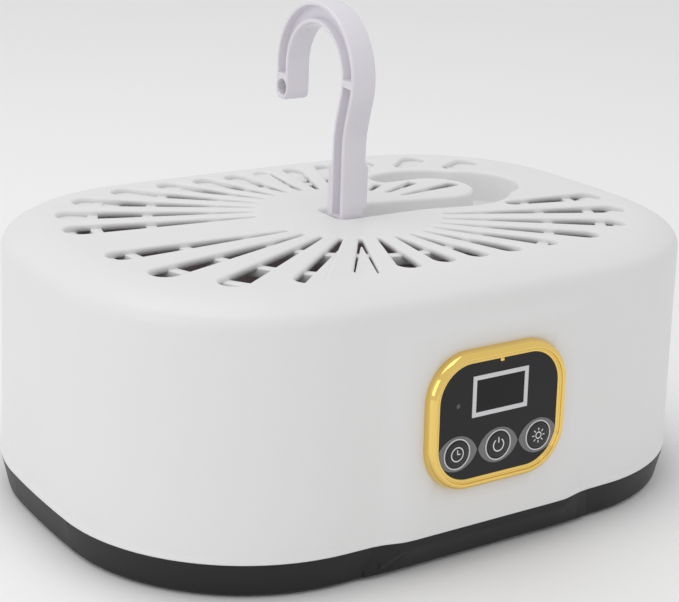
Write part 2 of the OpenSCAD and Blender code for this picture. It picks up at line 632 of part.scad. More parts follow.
heat_z = 14;
heat_h = 12;
heat_w = 62;
heat_frame_x = 23.5;                    // outer face of the frame's long sides
module turned() {
    rotate([0, 0, 90]) children();
}
module heater_frame() color([0.78, 0.74, 0.62]) turned() {
    for (sy = [-1, 1]) translate([-heat_w / 2 - 3, sy * (heat_frame_x - 1.5) - 1.5, heat_z - 1])
        cube([heat_w + 6, 3, heat_h + 2]);
    for (sx = [-1, 1]) translate([sx * (heat_w / 2 + 1.5) - 1.5, 3 - heat_frame_x - eps, heat_z - 1])
        cube([3, 2 * (heat_frame_x - 3 + eps), heat_h + 2]);
    for (turn = [0, 180]) rotate([0, 0, turn]) translate([heat_w / 2 + 3 - eps, -4, heat_z])
        cube([duct_r - heat_w / 2 - 3.4, 8, heat_h]);
}
module heater_elements() color([0.35, 0.33, 0.32]) turned()
    for (y = [-7, 7]) translate([-heat_w / 2, y - 1.2, heat_z]) cube([heat_w, 2.4, heat_h]);
module heater_fins() color([0.8, 0.8, 0.82]) turned() {
    pitch = (heat_w - 2) / (fins - 1);
    rows = [[3 - heat_frame_x, -8.2], [-5.8, 5.8], [8.2, heat_frame_x - 3]];
    for (row = rows, i = [0 : fins - 1])
        translate([-heat_w / 2 + 0.7 + i * pitch, row[0], heat_z]) cube([0.6, row[1] - row[0], heat_h]);
}
module thermal_cutout() color([0.85, 0.8, 0.6])
    translate([-7, -7, heat_z + heat_h]) cube([14, 7, 4]);

module uv_lamp_board() color(board_green)
    translate([duct_wall_r + 4, -17, feet_h + tray_wall]) cube([1.6, 34, 22]);
module uv_lamps() color([0.6, 0.5, 0.8])
    for (y = [-11, 0, 11]) translate([duct_wall_r + 4, y, duct_z + 12]) rotate([0, -90, 0])
        cylinder(r = 2.5, h = 4.5);

module main_board() color(board_green) difference() {
    translate([board_x0, -board_side / 2, board_z]) cube([board_side, board_side, board_t]);
    for (p = board_posts) translate([p[0], p[1], 0]) cylinder(r = 1.3, h = 20);
}
module board_screws() color(steel)
    for (p = board_posts) translate([p[0], p[1], board_top]) {
        cylinder(r = 2.4, h = 1.8);
        translate([0, 0, -7.5]) cylinder(r = 1.05, h = 7.6);
    }
// Places a component on the main board, at x from its left edge.
module on_board(x, y) {
    translate([board_x0 + x, y, board_top]) children();
}
module power_relay() color([0.15, 0.2, 0.45]) on_board(11, 8) cube([19, 15, 16]);
module mains_transformer() color([0.75, 0.7, 0.2]) on_board(11, -20) cube([26, 22, 20]);
module board_capacitors() color([0.12, 0.12, 0.2])
    for (y = [-16, -2]) on_board(47, y) cylinder(r = 5, h = 13);
module terminal_block() color([0.15, 0.45, 0.25]) on_board(35, 14) cube([20, 9, 11]);

module housing_screws() color(steel)
    for (p = boss_at) translate([p[0], p[1], boss_foot - 2.4 - 1.8]) {
        cylinder(r = 2.8, h = 1.8);
        cylinder(r = screw_r - 0.2, h = 14);
    }
module rubber_feet() color(black)
    for (p = feet_at) translate([p[0], p[1], 0]) cylinder(r = feet_r, h = feet_h + 0.8);

module cord_gland() color(black) translate([gland_x, gland_y, gland_z]) rotate([-90, 0, 0]) {
    difference() {
        union() {
            cylinder(r = gland_r + 1, h = 2);
            cylinder(r = gland_r - 0.3, h = gland_nose);
            translate([0, 0, -11]) cylinder(r = gland_r - 0.1, h = 12);
        }
        translate([0, 0, -12]) cylinder(r = gland_bore, h = 30);
    }
}
module gland_nut() color(steel) translate([gland_x, gland_y - 7.2, gland_z]) rotate([-90, 0, 0])
    difference() {
        cylinder(r = gland_r + 1.2, h = 3, $fn = 6);
        translate([0, 0, -1]) cylinder(r = gland_r - 0.1, h = 6);
    }

// A lead of round wire through the given points.
module lead(points, r) {
    for (i = [0 : len(points) - 2]) {
        d = points[i + 1] - points[i];
        translate(points[i]) rotate([0, acos(d[2] / norm(d)), atan2(d[1], d[0])])
            cylinder(r = r, h = norm(d), $fn = 24);
    }
    for (i = [1 : len(points) - 2]) translate(points[i]) sphere(r = 1.12 * r, $fn = 24);
}
heater_lead_y = -8;
module panel_lead() color([0.75, 0.1, 0.1])
    lead([[-16, panel_y - control_z + 2.2, panel_z + 8], [-22, panel_y + 16.9, panel_z + 2],
        [-72, panel_y + 40.9, board_top + 15.4], [board_x0 + 27, -26, board_top + 13.4],
        [board_x0 + 27, -26, board_top]], 1.4);
module motor_lead() color([0.8, 0.2, 0.15])
    lead([[-12.8, 8, motor_z + 12], [-26, 8, motor_z + 12], [-27, 8, arm_z + 3],
        [-36, 8, duct_z + duct_h + 3], [-duct_wall_r - 6, 6, duct_z + duct_h + 1],
        [-duct_wall_r - 8, 4, 30], [board_x0 + 59, 4, 22], [board_x0 + 59, 4, board_top]], 1);
module heater_lead() color([0.85, 0.85, 0.2])
    lead([[-heat_frame_x, heater_lead_y, heat_z + heat_h / 2],
        [board_x0 + 59, heater_lead_y, heat_z + heat_h / 2], [board_x0 + 59, heater_lead_y, board_top]], 1.2);

top_shell();
base_tray();
outlet_grille();
hanging_hook();
hook_pivot_pin();
panel_bezel();
panel_faceplate();
key_rings();
display_frame();
display_window();
timer_key();
power_key();
sterilise_key();
status_led();
control_board();
display_module();
tact_switches();
control_board_screws();
fan_duct();
fan_motor();
fan_impeller();
fan_screws();
heater_frame();
heater_fins();
heater_elements();
thermal_cutout();
uv_lamp_board();
uv_lamps();
main_board();
board_screws();
power_relay();
mains_transformer();
board_capacitors();
terminal_block();
panel_lead();
motor_lead();
heater_lead();
housing_screws();
rubber_feet();
cord_gland();
gland_nut();
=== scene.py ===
# Portable hanging clothes dryer head: the looks of every piece, a studio stage and the camera.
# Lengths are metres. +X is the long way, the control panel faces -Y, +Z is up, as in the frame.
import json
import math

import bmesh
import bpy
from bpy.props import FloatProperty, FloatVectorProperty, IntProperty, PointerProperty
from mathutils import Matrix, Vector
from mathutils.geometry import delaunay_2d_cdt


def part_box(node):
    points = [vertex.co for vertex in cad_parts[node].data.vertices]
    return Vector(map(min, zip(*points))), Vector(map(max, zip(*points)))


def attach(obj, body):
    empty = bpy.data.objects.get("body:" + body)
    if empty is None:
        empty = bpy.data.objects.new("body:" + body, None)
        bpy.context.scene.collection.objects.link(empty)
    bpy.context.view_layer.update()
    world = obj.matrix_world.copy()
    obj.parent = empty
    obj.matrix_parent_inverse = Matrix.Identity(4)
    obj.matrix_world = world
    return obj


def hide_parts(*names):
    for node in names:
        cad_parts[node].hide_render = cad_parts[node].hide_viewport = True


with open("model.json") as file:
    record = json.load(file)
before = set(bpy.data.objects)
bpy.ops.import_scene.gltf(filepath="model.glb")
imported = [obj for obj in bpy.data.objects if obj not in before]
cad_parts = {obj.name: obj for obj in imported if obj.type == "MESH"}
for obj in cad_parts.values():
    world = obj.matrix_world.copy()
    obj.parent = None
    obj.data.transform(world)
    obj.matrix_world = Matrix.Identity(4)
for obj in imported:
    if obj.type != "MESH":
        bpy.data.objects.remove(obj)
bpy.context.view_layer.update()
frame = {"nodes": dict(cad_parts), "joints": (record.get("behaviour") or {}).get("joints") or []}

bl_info = {
    "name": "Clothes Dryer Head",
    "version": (1, 0, 0),
    "blender": (4, 5, 0),
    "location": "3D View > Sidebar > Dryer",
    "description": "Dresses the clothes dryer head and sets up its stage",
    "category": "Object",
}

MM = 0.001
NODES = frame["nodes"]
HALF_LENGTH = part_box("top_shell")[1].x
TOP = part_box("top_shell")[1].z
# Height of the joint line between the shell and the tray.
SPLIT = 14.4 * MM
# The panel's opening in the shell: half its width, and the heights of its edges.
OPENING_HALF = 25.3 * MM
OPENING_LOW, OPENING_HIGH = 38 * MM, 78 * MM
# Slack for comparing a height with an edge of the opening.
SLACK = 1e-6


# ---- sizes and colours that a user can change ----

def size(name, description, default):
    """A length property, its default given in millimetres."""
    return FloatProperty(name=name, description=description, default=default * MM, min=0.0,
                         unit="LENGTH", precision=5)


def turn(name, description, degrees):
    """An angle property, its default given in degrees."""
    return FloatProperty(name=name, description=description, default=math.radians(degrees),
                         unit="ROTATION")


def tint(name, description, default):
    """A linear colour property."""
    return FloatVectorProperty(name=name, description=description, default=default, subtype="COLOR",
                               size=3, min=0.0, max=1.0)


class DryerBodySizes(bpy.types.PropertyGroup):
    """Sizes of the shell's walls and crown."""
    half_width: size("Half Width", "Half the body's width at the parting line", 100.3)
    side_bow: turn("Side Bow", "Angle that half of a bowed long side turns through", 1.6)
    end_bow: turn("End Bow", "Angle that half of a bowed short end turns through", 3.0)
    corner_radius: size("Corner Radius", "Plan radius of the corners", 78)
    draft: turn("Draft", "Lean of the shell's wall", 1.9)
    rim_radius: size("Rim Radius", "Radius between the wall and the top", 7)
    crown_radius: size("Crown Radius", "Radius of the crowned band round the top", 32)
    crown_width: size("Crown Width", "Width of the crowned band", 23)
    wall: size("Wall", "Thickness of the shell's wall", 2.6)
    plate: size("Plate", "Thickness of the vented top", 2.8)
    lip: size("Lip", "Height of the bead along the shell's lower edge", 1.1)
    lip_relief: size("Lip Relief", "How far the bead stands out of the wall", 0.3)
    pad_out: size("Pad Relief", "How far the flat pad stands out of the bowed front", 2)
    pad_half: size("Pad Half Width", "Half the width of the pad's flat part", 38)
    pad_fade: size("Pad Fade", "Distance over which the pad's edges fade", 10)
    pad_top: size("Pad Top", "Height at which the pad starts to fade", 90)


class DryerVentSizes(bpy.types.PropertyGroup):
    """Sizes of the sunburst of slots."""
    count: IntProperty(name="Slots", description="Slots in each half of the sunburst", default=14, min=3)
    hub: size("Hub Radius", "Radius of the plain hub inside the slots", 39)
    inset: size("Inset", "Distance of the slots' outer ends from the parting outline", 24.3)
    root: size("Root Width", "Width of a slot at the hub", 1.6)
    gain: size("Width Gain", "Width that a slot gains by its outer end", 5)
    back_gain: size("Back Gain", "Further width of the back slots left of the hook", 1.6)
    flare: FloatProperty(name="Flare", description="Further width for each length of slot", default=0.06)
    edge: size("Edge Radius", "Rounding of the slots' upper edges", 1.2)
    bar_width: size("Bar Width", "Width of a ring bar under the slots", 4.5)
    bar_height: size("Bar Height", "Height of a ring bar", 3.8)
    shelf: size("Shelf", "Width of the shelf under the slots' outer ends", 6.5)
    back_shelf: size("Back Shelf", "Further width of the shelf along the back", 8.5)


class DryerHookSizes(bpy.types.PropertyGroup):
    """Sizes of the hanging hook and the recess that it folds into."""
    width: size("Width", "Width of the hook's flat outer face", 11)
    depth: size("Depth", "Depth of the hook's section", 8.8)
    rim: size("Rim", "Width of the rims beside the channels", 1.6)
    web: size("Web", "Thickness of the web between the channels", 3.4)
    bend: size("Bend Radius", "Radius of the bend, to the middle of the section", 24.4)
    rise: size("Rise", "Height of the bend's centre above the pivot", 61)
    reach: size("Reach", "How far the bend's centre lies behind the shank", 19.6)
    lean: turn("Lean", "Lean of the neck", 15)
    tip: size("Tip", "Length of the straight tip below the bend", 15.2)
    edge: size("Edge Radius", "Rounding of the section's corners", 0.8)
    socket: size("Socket Radius", "Radius of the round socket in the tip", 3.3)
    recess_depth: size("Recess Depth", "Depth of the stowing recess", 14.2)
    recess_edge: size("Recess Edge", "Rounding of the recess's upper edge", 1.6)
    recess_floor: size("Recess Floor Radius", "Rounding between the recess's wall and floor", 1.6)
    tray: size("Tray Wall", "Thickness of the recess's wall and floor", 1.8)


class DryerPanelSizes(bpy.types.PropertyGroup):
    """Sizes of the control panel."""
    width: size("Bezel Width", "Width of the gold bezel", 64.6)
    height: size("Bezel Height", "Height of the gold bezel", 54)
    radius: size("Bezel Radius", "Corner radius of the bezel", 18.5)
    thickness: size("Bezel Thickness", "How far the bezel stands out", 4.6)
    centre: size("Panel Height", "Height of the panel's centre", 58)
    face: size("Face Height", "How far the faceplate's face stands out", 3.2)
    pitch: size("Key Pitch", "Distance between the keys", 19.3)
    key: size("Key Radius", "Radius of a key cap", 5.4)
    keys_below: size("Key Drop", "How far the keys' centres lie below the panel's", 11.6)
    almond_width: size("Almond Width", "Width of the grey almond round a key", 18.8)
    almond_height: size("Almond Height", "Height of the grey almond round a key", 13.8)


class DryerFinishes(bpy.types.PropertyGroup):
    """Colours of the outer finishes."""
    shell: tint("Shell", "Colour of the white shell", (0.83, 0.83, 0.83))
    # The base colour of the inner side; outer_finishes also gives it a faint painted glow for light through
    # the thin walls.
    inside: tint("Inside", "Colour of the shell's unlit inner side", (0.74, 0.61, 0.62))
    hook: tint("Hook", "Colour of the hook", (0.80, 0.775, 0.83))
    tray: tint("Tray", "Colour of the base tray", (0.013, 0.013, 0.014))
    gold: tint("Gold", "Colour of the polished bezel", (0.96, 0.68, 0.20))
    panel: tint("Panel", "Colour of the faceplate", (0.010, 0.010, 0.011))
    almond: tint("Almond", "Colour of the almonds round the keys", (0.19, 0.19, 0.195))
    mark: tint("Mark", "Colour of the marks on the keys", (0.85, 0.85, 0.85))


# ---- meshes gathered loop by loop ----

def unit(a):
    """The unit vector at an angle in radians."""
    return Vector((math.cos(a), math.sin(a)))


def quarter(steps):
    """Turns from 0 to a right angle in even steps, both ends included."""
    return [0.5 * math.pi * i / steps for i in range(steps + 1)]


def arc(centre, radius, start, end, steps):
    """Points along an arc, both ends included. Angles in radians."""
    turns = [start + (end - start) * i / steps for i in range(steps + 1)]
    return [Vector((centre[0] + radius * math.cos(a), centre[1] + radius * math.sin(a))) for a in turns]


def blend(low, high, value):
    """0 below low, 1 above high and a smooth ramp between."""
    share = min(max((value - low) / (high - low), 0.0), 1.0)
    return share * share * (3 - 2 * share)


def quarter_round(radius, steps):
    """(inset, drop) pairs that roll over an edge, from its flat to its wall."""
    return [(radius * (1 - math.sin(a)), radius * (1 - math.cos(a))) for a in quarter(steps)]


class Skin:
    """Points and faces of one mesh."""

    def __init__(self):
        self.points = []
        self.faces = []

    def loop(self, plan, height=None):
        """Adds a loop of points, lifted to a height where they are flat, and gives their indices."""
        start = len(self.points)
        self.points += [Vector((*p[:2], p[2] if height is None else height)) for p in plan]
        return list(range(start, len(self.points)))

    def face(self, corners, finish=0, smooth=True):
        self.faces.append((tuple(corners), finish, smooth))

    def bridge(self, low, high, finish=0, smooth=True):
        """Joins two closed loops of as many points with quads."""
        for i in range(len(low)):
            j = (i + 1) % len(low)
            self.face((low[i], low[j], high[j], high[i]), finish, smooth)

    def walls(self, loops, finish=0, smooth=True):
        """Joins each loop to the next."""
        for low, high in zip(loops, loops[1:]):
            self.bridge(low, high, finish, smooth)

    def fill(self, outer, holes=(), finish=0, smooth=False):
        """Fills the plan inside a loop and outside its holes."""
        loops = []
        order = []
        for loop in (outer, *holes):
            plan = [self.points[i] for i in loop]
            area = sum(a.x * b.y - b.x * a.y for a, b in zip(plan, plan[1:] + plan[:1]))
            span = list(range(len(order), len(order) + len(loop)))
            loops.append(span if area > 0 else span[::-1])
            order += loop
        flat = [self.points[i].xy for i in order]
        made, _, corners, origins, _, owners = delaunay_2d_cdt(flat, [], loops, 1, 1e-9, True)
        if len(made) != len(order):
            raise RuntimeError(f"loops of a filled plan touch: {len(made)} points from {len(order)}")
        for corner, owner in zip(corners, owners):
            if list(owner) == [0]:
                self.face([order[origins[i][0]] for i in corner], finish, smooth)

    def add(self, other, place=None):
        """Adds another skin's points and faces, moved by a matrix."""
        start = len(self.points)
        self.points += [place @ p if place else p.copy() for p in other.points]
        self.faces += [(tuple(i + start for i in c), f, s) for c, f, s in other.faces]

    def mesh(self, name, place=None):
        """The points and faces as a mesh, moved by a matrix. Faces of two corners become edges."""
        made = bpy.data.meshes.new(name)
        corners = [c for c, _, _ in self.faces]
        made.from_pydata([place @ p if place else p for p in self.points],
                         [c for c in corners if len(c) == 2], [c for c in corners if len(c) > 2])
        return made

    def piece(self, name, body, finishes, replaces=(), slot=None, place=None):
        """Makes the object, with its normals outwards, and rides it on a body."""
        mesh = self.mesh(name, place)
        mesh.polygons.foreach_set("material_index", [f[1] for f in self.faces])
        mesh.polygons.foreach_set("use_smooth", [f[2] for f in self.faces])
        return dress(name, mesh, body, finishes, replaces)


def put(name, data):
    """A new object in the scene."""
    thing = bpy.data.objects.new(name, data)
    bpy.context.scene.collection.objects.link(thing)
    return thing


def dress(name, mesh, body, finishes, replaces=()):
    """Cleans a mesh, gives it its finishes and rides it on a body."""
    work = bmesh.new()
    work.from_mesh(mesh)
    bmesh.ops.remove_doubles(work, verts=work.verts, dist=1e-7)
    bmesh.ops.dissolve_degenerate(work, edges=work.edges, dist=1e-8)
    bmesh.ops.recalc_face_normals(work, faces=work.faces)
    open_edges = [e for e in work.edges if len(e.link_faces) != 2]
    if open_edges:
        where = open_edges[0].verts[0].co
        raise RuntimeError(f"{name} has {len(open_edges)} open edges, the first at {where}")
    work.to_mesh(mesh)
    work.free()
    mesh.materials.clear()
    for finish in finishes:
        mesh.materials.append(finish)
    thing = put(name, mesh)
    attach(thing, body)
    if replaces:
        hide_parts(*replaces)
    return thing


def lathe(profile, steps=48):
    """A closed skin turned about Z from (radius, height) pairs, closed or with its ends on the axis."""
    skin = Skin()
    on_axis = profile[0][0] == 0
    rings = [skin.loop([(r * math.cos(math.tau * i / steps), r * math.sin(math.tau * i / steps), z)
                        for i in range(steps)]) for r, z in profile if r > 0]
    skin.walls(rings if on_axis else rings + rings[:1])
    if on_axis:
        for ring, height in ((rings[0], profile[0][1]), (rings[-1], profile[-1][1])):
            tip = skin.loop([(0, 0, height)])[0]
            for i in range(steps):
                skin.face((ring[i], ring[(i + 1) % steps], tip))
    return skin


def box_skin(low, high, edge):
    """A box with rounded upright edges and chamfered ends, as a closed skin."""
    skin = Skin()
    loops = []
    centre = [(low[i] + high[i]) / 2 for i in range(2)]
    half = [(high[i] - low[i]) / 2 for i in range(2)]
    for inset, height in ((edge, low[2]), (0, low[2] + edge), (0, high[2] - edge), (edge, high[2])):
        plan = rounded_rectangle(2 * half[0], 2 * half[1], 2 * edge, -inset, 3)
        loops.append(skin.loop([(centre[0] + p.x, centre[1] + p.y) for p in plan], height))
    skin.walls(loops)
    skin.face(loops[0], smooth=False)
    skin.face(loops[-1], smooth=False)
    return skin


def rounded_rectangle(width, height, radius, out=0.0, steps=14):
    """A rectangle with round corners about the origin, moved outwards by a distance."""
    points = []
    for k, (sx, sy) in enumerate(((1, 1), (-1, 1), (-1, -1), (1, -1))):
        centre = (sx * (width / 2 - radius), sy * (height / 2 - radius))
        points += arc(centre, radius + out, 0.5 * math.pi * k, 0.5 * math.pi * (k + 1), steps)
    return points


# ---- the body's plan and the slots' places ----

class Plan:
    """The body's outline: two bowed ends, two bowed sides and four corner arcs, all tangent."""
    END_STEPS, CORNER_STEPS, SIDE_STEPS = 6, 30, 12

    def __init__(self, body):
        end, side, corner = body.end_bow, math.pi / 2 - body.side_bow, body.corner_radius
        flat_length = HALF_LENGTH - corner
        flat_width = body.half_width - corner
        half_end = math.tan(end / 2)
        bulge = 1 - math.cos(body.side_bow)
        side_arm = (flat_length - half_end * flat_width) / (math.sin(body.side_bow) - half_end * bulge)
        end_arm = (flat_width - side_arm * bulge) / math.sin(end)
        self.end, self.side, self.corner = end, side, corner
        self.side_radius = side_arm + corner
        self.end_radius = end_arm + corner
        self.side_centre = Vector((0, body.half_width - self.side_radius))
        self.end_centre = Vector((HALF_LENGTH - self.end_radius, 0))
        self.corner_centre = self.end_centre + end_arm * unit(end)

    def ring(self, inset, front=()):
        """The outline moved inwards, with front columns at the given X. An inset may be a function
        of the outward direction."""
        sx, sy = Vector((-1, 1)), Vector((1, -1))
        half, whole = math.pi, math.tau
        flip = [self.corner_centre * Vector(s) for s in ((1, 1), (-1, 1), (-1, -1), (1, -1))]
        fronts = [whole * 0.75 + math.asin(x / self.side_radius) for x in front]

        def even(a, b, count):
            return [a + (b - a) * i / count for i in range(count)]

        arcs = (
            (self.end_centre, self.end_radius, even(-self.end, self.end, self.END_STEPS)),
            (flip[0], self.corner, even(self.end, self.side, self.CORNER_STEPS)),
            (self.side_centre, self.side_radius, even(self.side, half - self.side, self.SIDE_STEPS)),
            (flip[1], self.corner, even(half - self.side, half - self.end, self.CORNER_STEPS)),
            (self.end_centre * sx, self.end_radius, even(half - self.end, half + self.end, self.END_STEPS)),
            (flip[2], self.corner, even(half + self.end, half + self.side, self.CORNER_STEPS)),
            (self.side_centre * sy, self.side_radius, [half + self.side] + fronts),
            (flip[3], self.corner, even(whole - self.side, whole - self.end, self.CORNER_STEPS)),
        )
        points = []
        for centre, radius, turns in arcs:
            for a in turns:
                out = unit(a)
                points.append(centre + (radius - (inset(out) if callable(inset) else inset)) * out)
        return points

    def reach(self, a, inset):
        """How far from the origin a ray meets the outline moved inwards."""
        u = Vector((abs(math.cos(a)), abs(math.sin(a))))
        arm = self.corner - inset
        joints = [self.corner_centre + arm * unit(b) for b in (self.end, self.side)]
        slope = math.atan2(u.y, u.x)
        centre, radius = self.corner_centre, arm
        if slope > math.atan2(joints[1].y, joints[1].x):
            centre, radius = self.side_centre, self.side_radius - inset
        elif slope < math.atan2(joints[0].y, joints[0].x):
            centre, radius = self.end_centre, self.end_radius - inset
        along = u.dot(centre)
        return along + math.sqrt(along ** 2 - centre.dot(centre) + radius ** 2)

    def depth(self, point):
        """How far a point lies inside the outline."""
        p = Vector((abs(point.x), abs(point.y)))
        away = p - self.corner_centre
        slope = math.atan2(away.y, away.x)
        if self.end <= slope <= self.side:
            return self.corner - away.length
        return min(self.side_radius - (p - self.side_centre).length,
                   self.end_radius - (p - self.end_centre).length)


class Slot:
    """A slot from its hub end to its rim end: the hull of a small and a large circle."""
    WIDE_STEPS, NARROW_STEPS = 16, 8

    def __init__(self, start, end, narrow, wide):
        self.way = (end - start).normalized()
        self.start = start + narrow * self.way
        self.end = end - wide * self.way
        self.narrow, self.wide = narrow, wide

    def at(self, share):
        """Centre and radius part of the way along."""
        return self.start.lerp(self.end, share), self.narrow + (self.wide - self.narrow) * share

    def part(self, a, b):
        """The stretch of the slot between two shares of its length."""
        (start, narrow), (end, wide) = self.at(a), self.at(b)
        return Slot(start - narrow * self.way, end + wide * self.way, narrow, wide)

    def loop(self, grow=0.0):
        """The slot's outline, moved outwards."""
        apart = (self.end - self.start).length
        tilt = math.atan2(self.way.y, self.way.x)
        spread = math.acos((self.narrow - self.wide) / apart)
        wide = arc(self.end, self.wide + grow, tilt - spread, tilt + spread, self.WIDE_STEPS)
        return wide + arc(self.start, self.narrow + grow, tilt + spread, tilt + math.tau - spread,
                          self.NARROW_STEPS)


# Turns of a row's slots from -X in degrees, as (first, step, bow) at the hub and then at the rim.
FRONT_TURNS = ((19, 11, 0), (7, 12.4, 5))
BACK_TURNS = ((16, 11, 0), (12.4, 11.78, -3))
# A slot's end is drawn back in steps until it lies inside the inset outline.
TRIM_STEP, TRIM_TRIES, TRIM_SLACK = 0.2 * MM, 40, 0.3 * MM


def sunburst(plan, vents):
    """Every slot of both rows. The rim ends are bowed, the front row's more than the back row's."""
    slots = []
    last = vents.count - 1
    for row, turns in ((1, FRONT_TURNS), (-1, BACK_TURNS)):
        for k in range(vents.count):
            swing = math.sin(math.pi * k / last)
            hub, rim = [math.pi + row * math.radians(first + step * k + bow * swing)
                        for first, step, bow in turns]
            start = vents.hub * unit(hub)
            end = plan.reach(rim, vents.inset) * unit(rim)
            wide = (vents.root + vents.gain + vents.flare * (end - start).length) / 2
            if row < 0 and k < vents.count / 2:
                wide += vents.back_gain / 2
            way = (end - start).normalized()
            for _ in range(TRIM_TRIES):
                if plan.depth(end - wide * way) < vents.inset + wide - TRIM_SLACK:
                    end -= TRIM_STEP * way
            slots.append(Slot(start, end, vents.root / 2, wide))
    return slots


# ---- the shell ----

class Recess:
    """The stowing recess: trench, bend, finger scoop and the tongue of top plate between them."""
    # Spacing of the outline's points, and how often its corners are rounded.
    STEP = 1.0 * MM
    SMOOTHING = 13
    # Room outside and inside the folded bend, before and behind the shank, at the foot and the tip.
    OUTSIDE, INSIDE = 3.7 * MM, 3 * MM
    BEFORE, BEHIND = 1.5 * MM, 8 * MM
    FOOT, TIP = 1 * MM, 1.8 * MM
    # How far the bend lies behind the hook's, the scoop beyond the bend, and its smaller radius.
    BEND_BACK, SCOOP_ON, SCOOP_LESS = 2 * MM, 20 * MM, 11.5 * MM
    # Where the trench's near edge ends and the bend's arc starts, before the bend's centre.
    NECK_END, ARC_START = 27 * MM, 8 * MM
    # X at which the trench's far edge starts.
    FAR_START = 16 * MM
    SCOOP_STEPS, BEND_STEPS = 50, 40

    def __init__(self, hook, pivot):
        bend = Vector((pivot.x + hook.rise, pivot.y + hook.reach + self.BEND_BACK))
        radius = hook.bend + hook.depth / 2 + self.OUTSIDE
        island = hook.bend - hook.depth / 2 - self.INSIDE
        scoop, scoop_radius = bend + Vector((self.SCOOP_ON, 0)), radius - self.SCOOP_LESS
        near = pivot.y - hook.depth / 2 - self.BEFORE
        far = pivot.y + hook.depth / 2 + self.BEHIND
        left = pivot.x - hook.width / 2 - self.FOOT
        tip = bend.x - hook.tip - self.TIP
        neck = bend.x - self.NECK_END
        apart = (scoop - bend).length
        across = (radius ** 2 - scoop_radius ** 2 + apart ** 2) / (2 * apart)
        rise = math.sqrt(radius ** 2 - across ** 2)
        low = math.asin(-math.sqrt(1 - (self.ARC_START / radius) ** 2))
        cusp, scoop_cusp = math.atan2(rise, across), math.atan2(rise, across - apart)
        tip_turn = math.acos((tip - bend.x) / radius)
        raw = [Vector((left, near)), Vector((neck, near))]
        raw += arc(bend, radius, -math.pi - low, -cusp, self.BEND_STEPS)
        raw += arc(scoop, scoop_radius, -scoop_cusp, scoop_cusp, self.SCOOP_STEPS)
        raw += arc(bend, radius, cusp, tip_turn, self.BEND_STEPS)
        raw += [Vector((tip, bend.y + island))]
        raw += arc(bend, island, math.pi / 2, -math.pi / 2, self.SCOOP_STEPS)
        raw += [Vector((self.FAR_START, far)), Vector((left, far))]
        self.line = self.smoothed(self.spaced(raw))
        self.near, self.far, self.left = near, far, left

    def spaced(self, raw):
        """The loop resampled at even steps."""
        closed = raw + raw[:1]
        points = []
        carried = 0.0
        for a, b in zip(closed, closed[1:]):
            span = (b - a).length
            while carried < span:
                points.append(a.lerp(b, carried / span))
                carried += self.STEP
            carried -= span
        return points

    def smoothed(self, points):
        """The loop with its corners rounded."""
        for _ in range(self.SMOOTHING):
            points = [(points[i - 1] + 2 * p + points[(i + 1) % len(points)]) / 4
                      for i, p in enumerate(points)]
        return points

    def loop(self, grow=0.0):
        """The recess's outline, moved outwards."""
        count = len(self.line)
        moved = []
        for i, p in enumerate(self.line):
            along = (self.line[(i + 1) % count] - self.line[i - 1]).normalized()
            moved.append(p + grow * Vector((along.y, -along.x)))
        return moved

    def clearance(self, point):
        """Distance from a point to the recess's edge, negative inside it."""
        nearest = 1.0
        inside = False
        for a, b in zip(self.line, self.line[1:] + self.line[:1]):
            share = min(max((point - a).dot(b - a) / (b - a).length_squared, 0.0), 1.0)
            nearest = min(nearest, (point - a.lerp(b, share)).length)
            if (a.y > point.y) != (b.y > point.y):
                if point.x < a.x + (point.y - a.y) * (b.x - a.x) / (b.y - a.y):
                    inside = not inside
        return -nearest if inside else nearest


def open_stretches(slots, recess, land):
    """The stretches of the slots that keep a land between themselves and the recess."""
    steps, shortest = 60, 3
    kept = []
    for slot in slots:
        clear = []
        for i in range(steps + 1):
            centre, radius = slot.at(i / steps)
            clear.append(recess.clearance(centre) > radius + land)
        start = None
        parts = []
        for i, good in enumerate(clear + [False]):
            if good and start is None:
                start = i
            if not good and start is not None:
                if i - 1 - start > shortest:
                    parts.append(slot.part(start / steps, (i - 1) / steps))
                start = None
        if len(parts) == 2:
            apart = (parts[1].start - parts[0].end).length
            if apart < parts[0].wide + parts[1].narrow + land:
                parts = parts[1:]
        kept += parts
    return kept


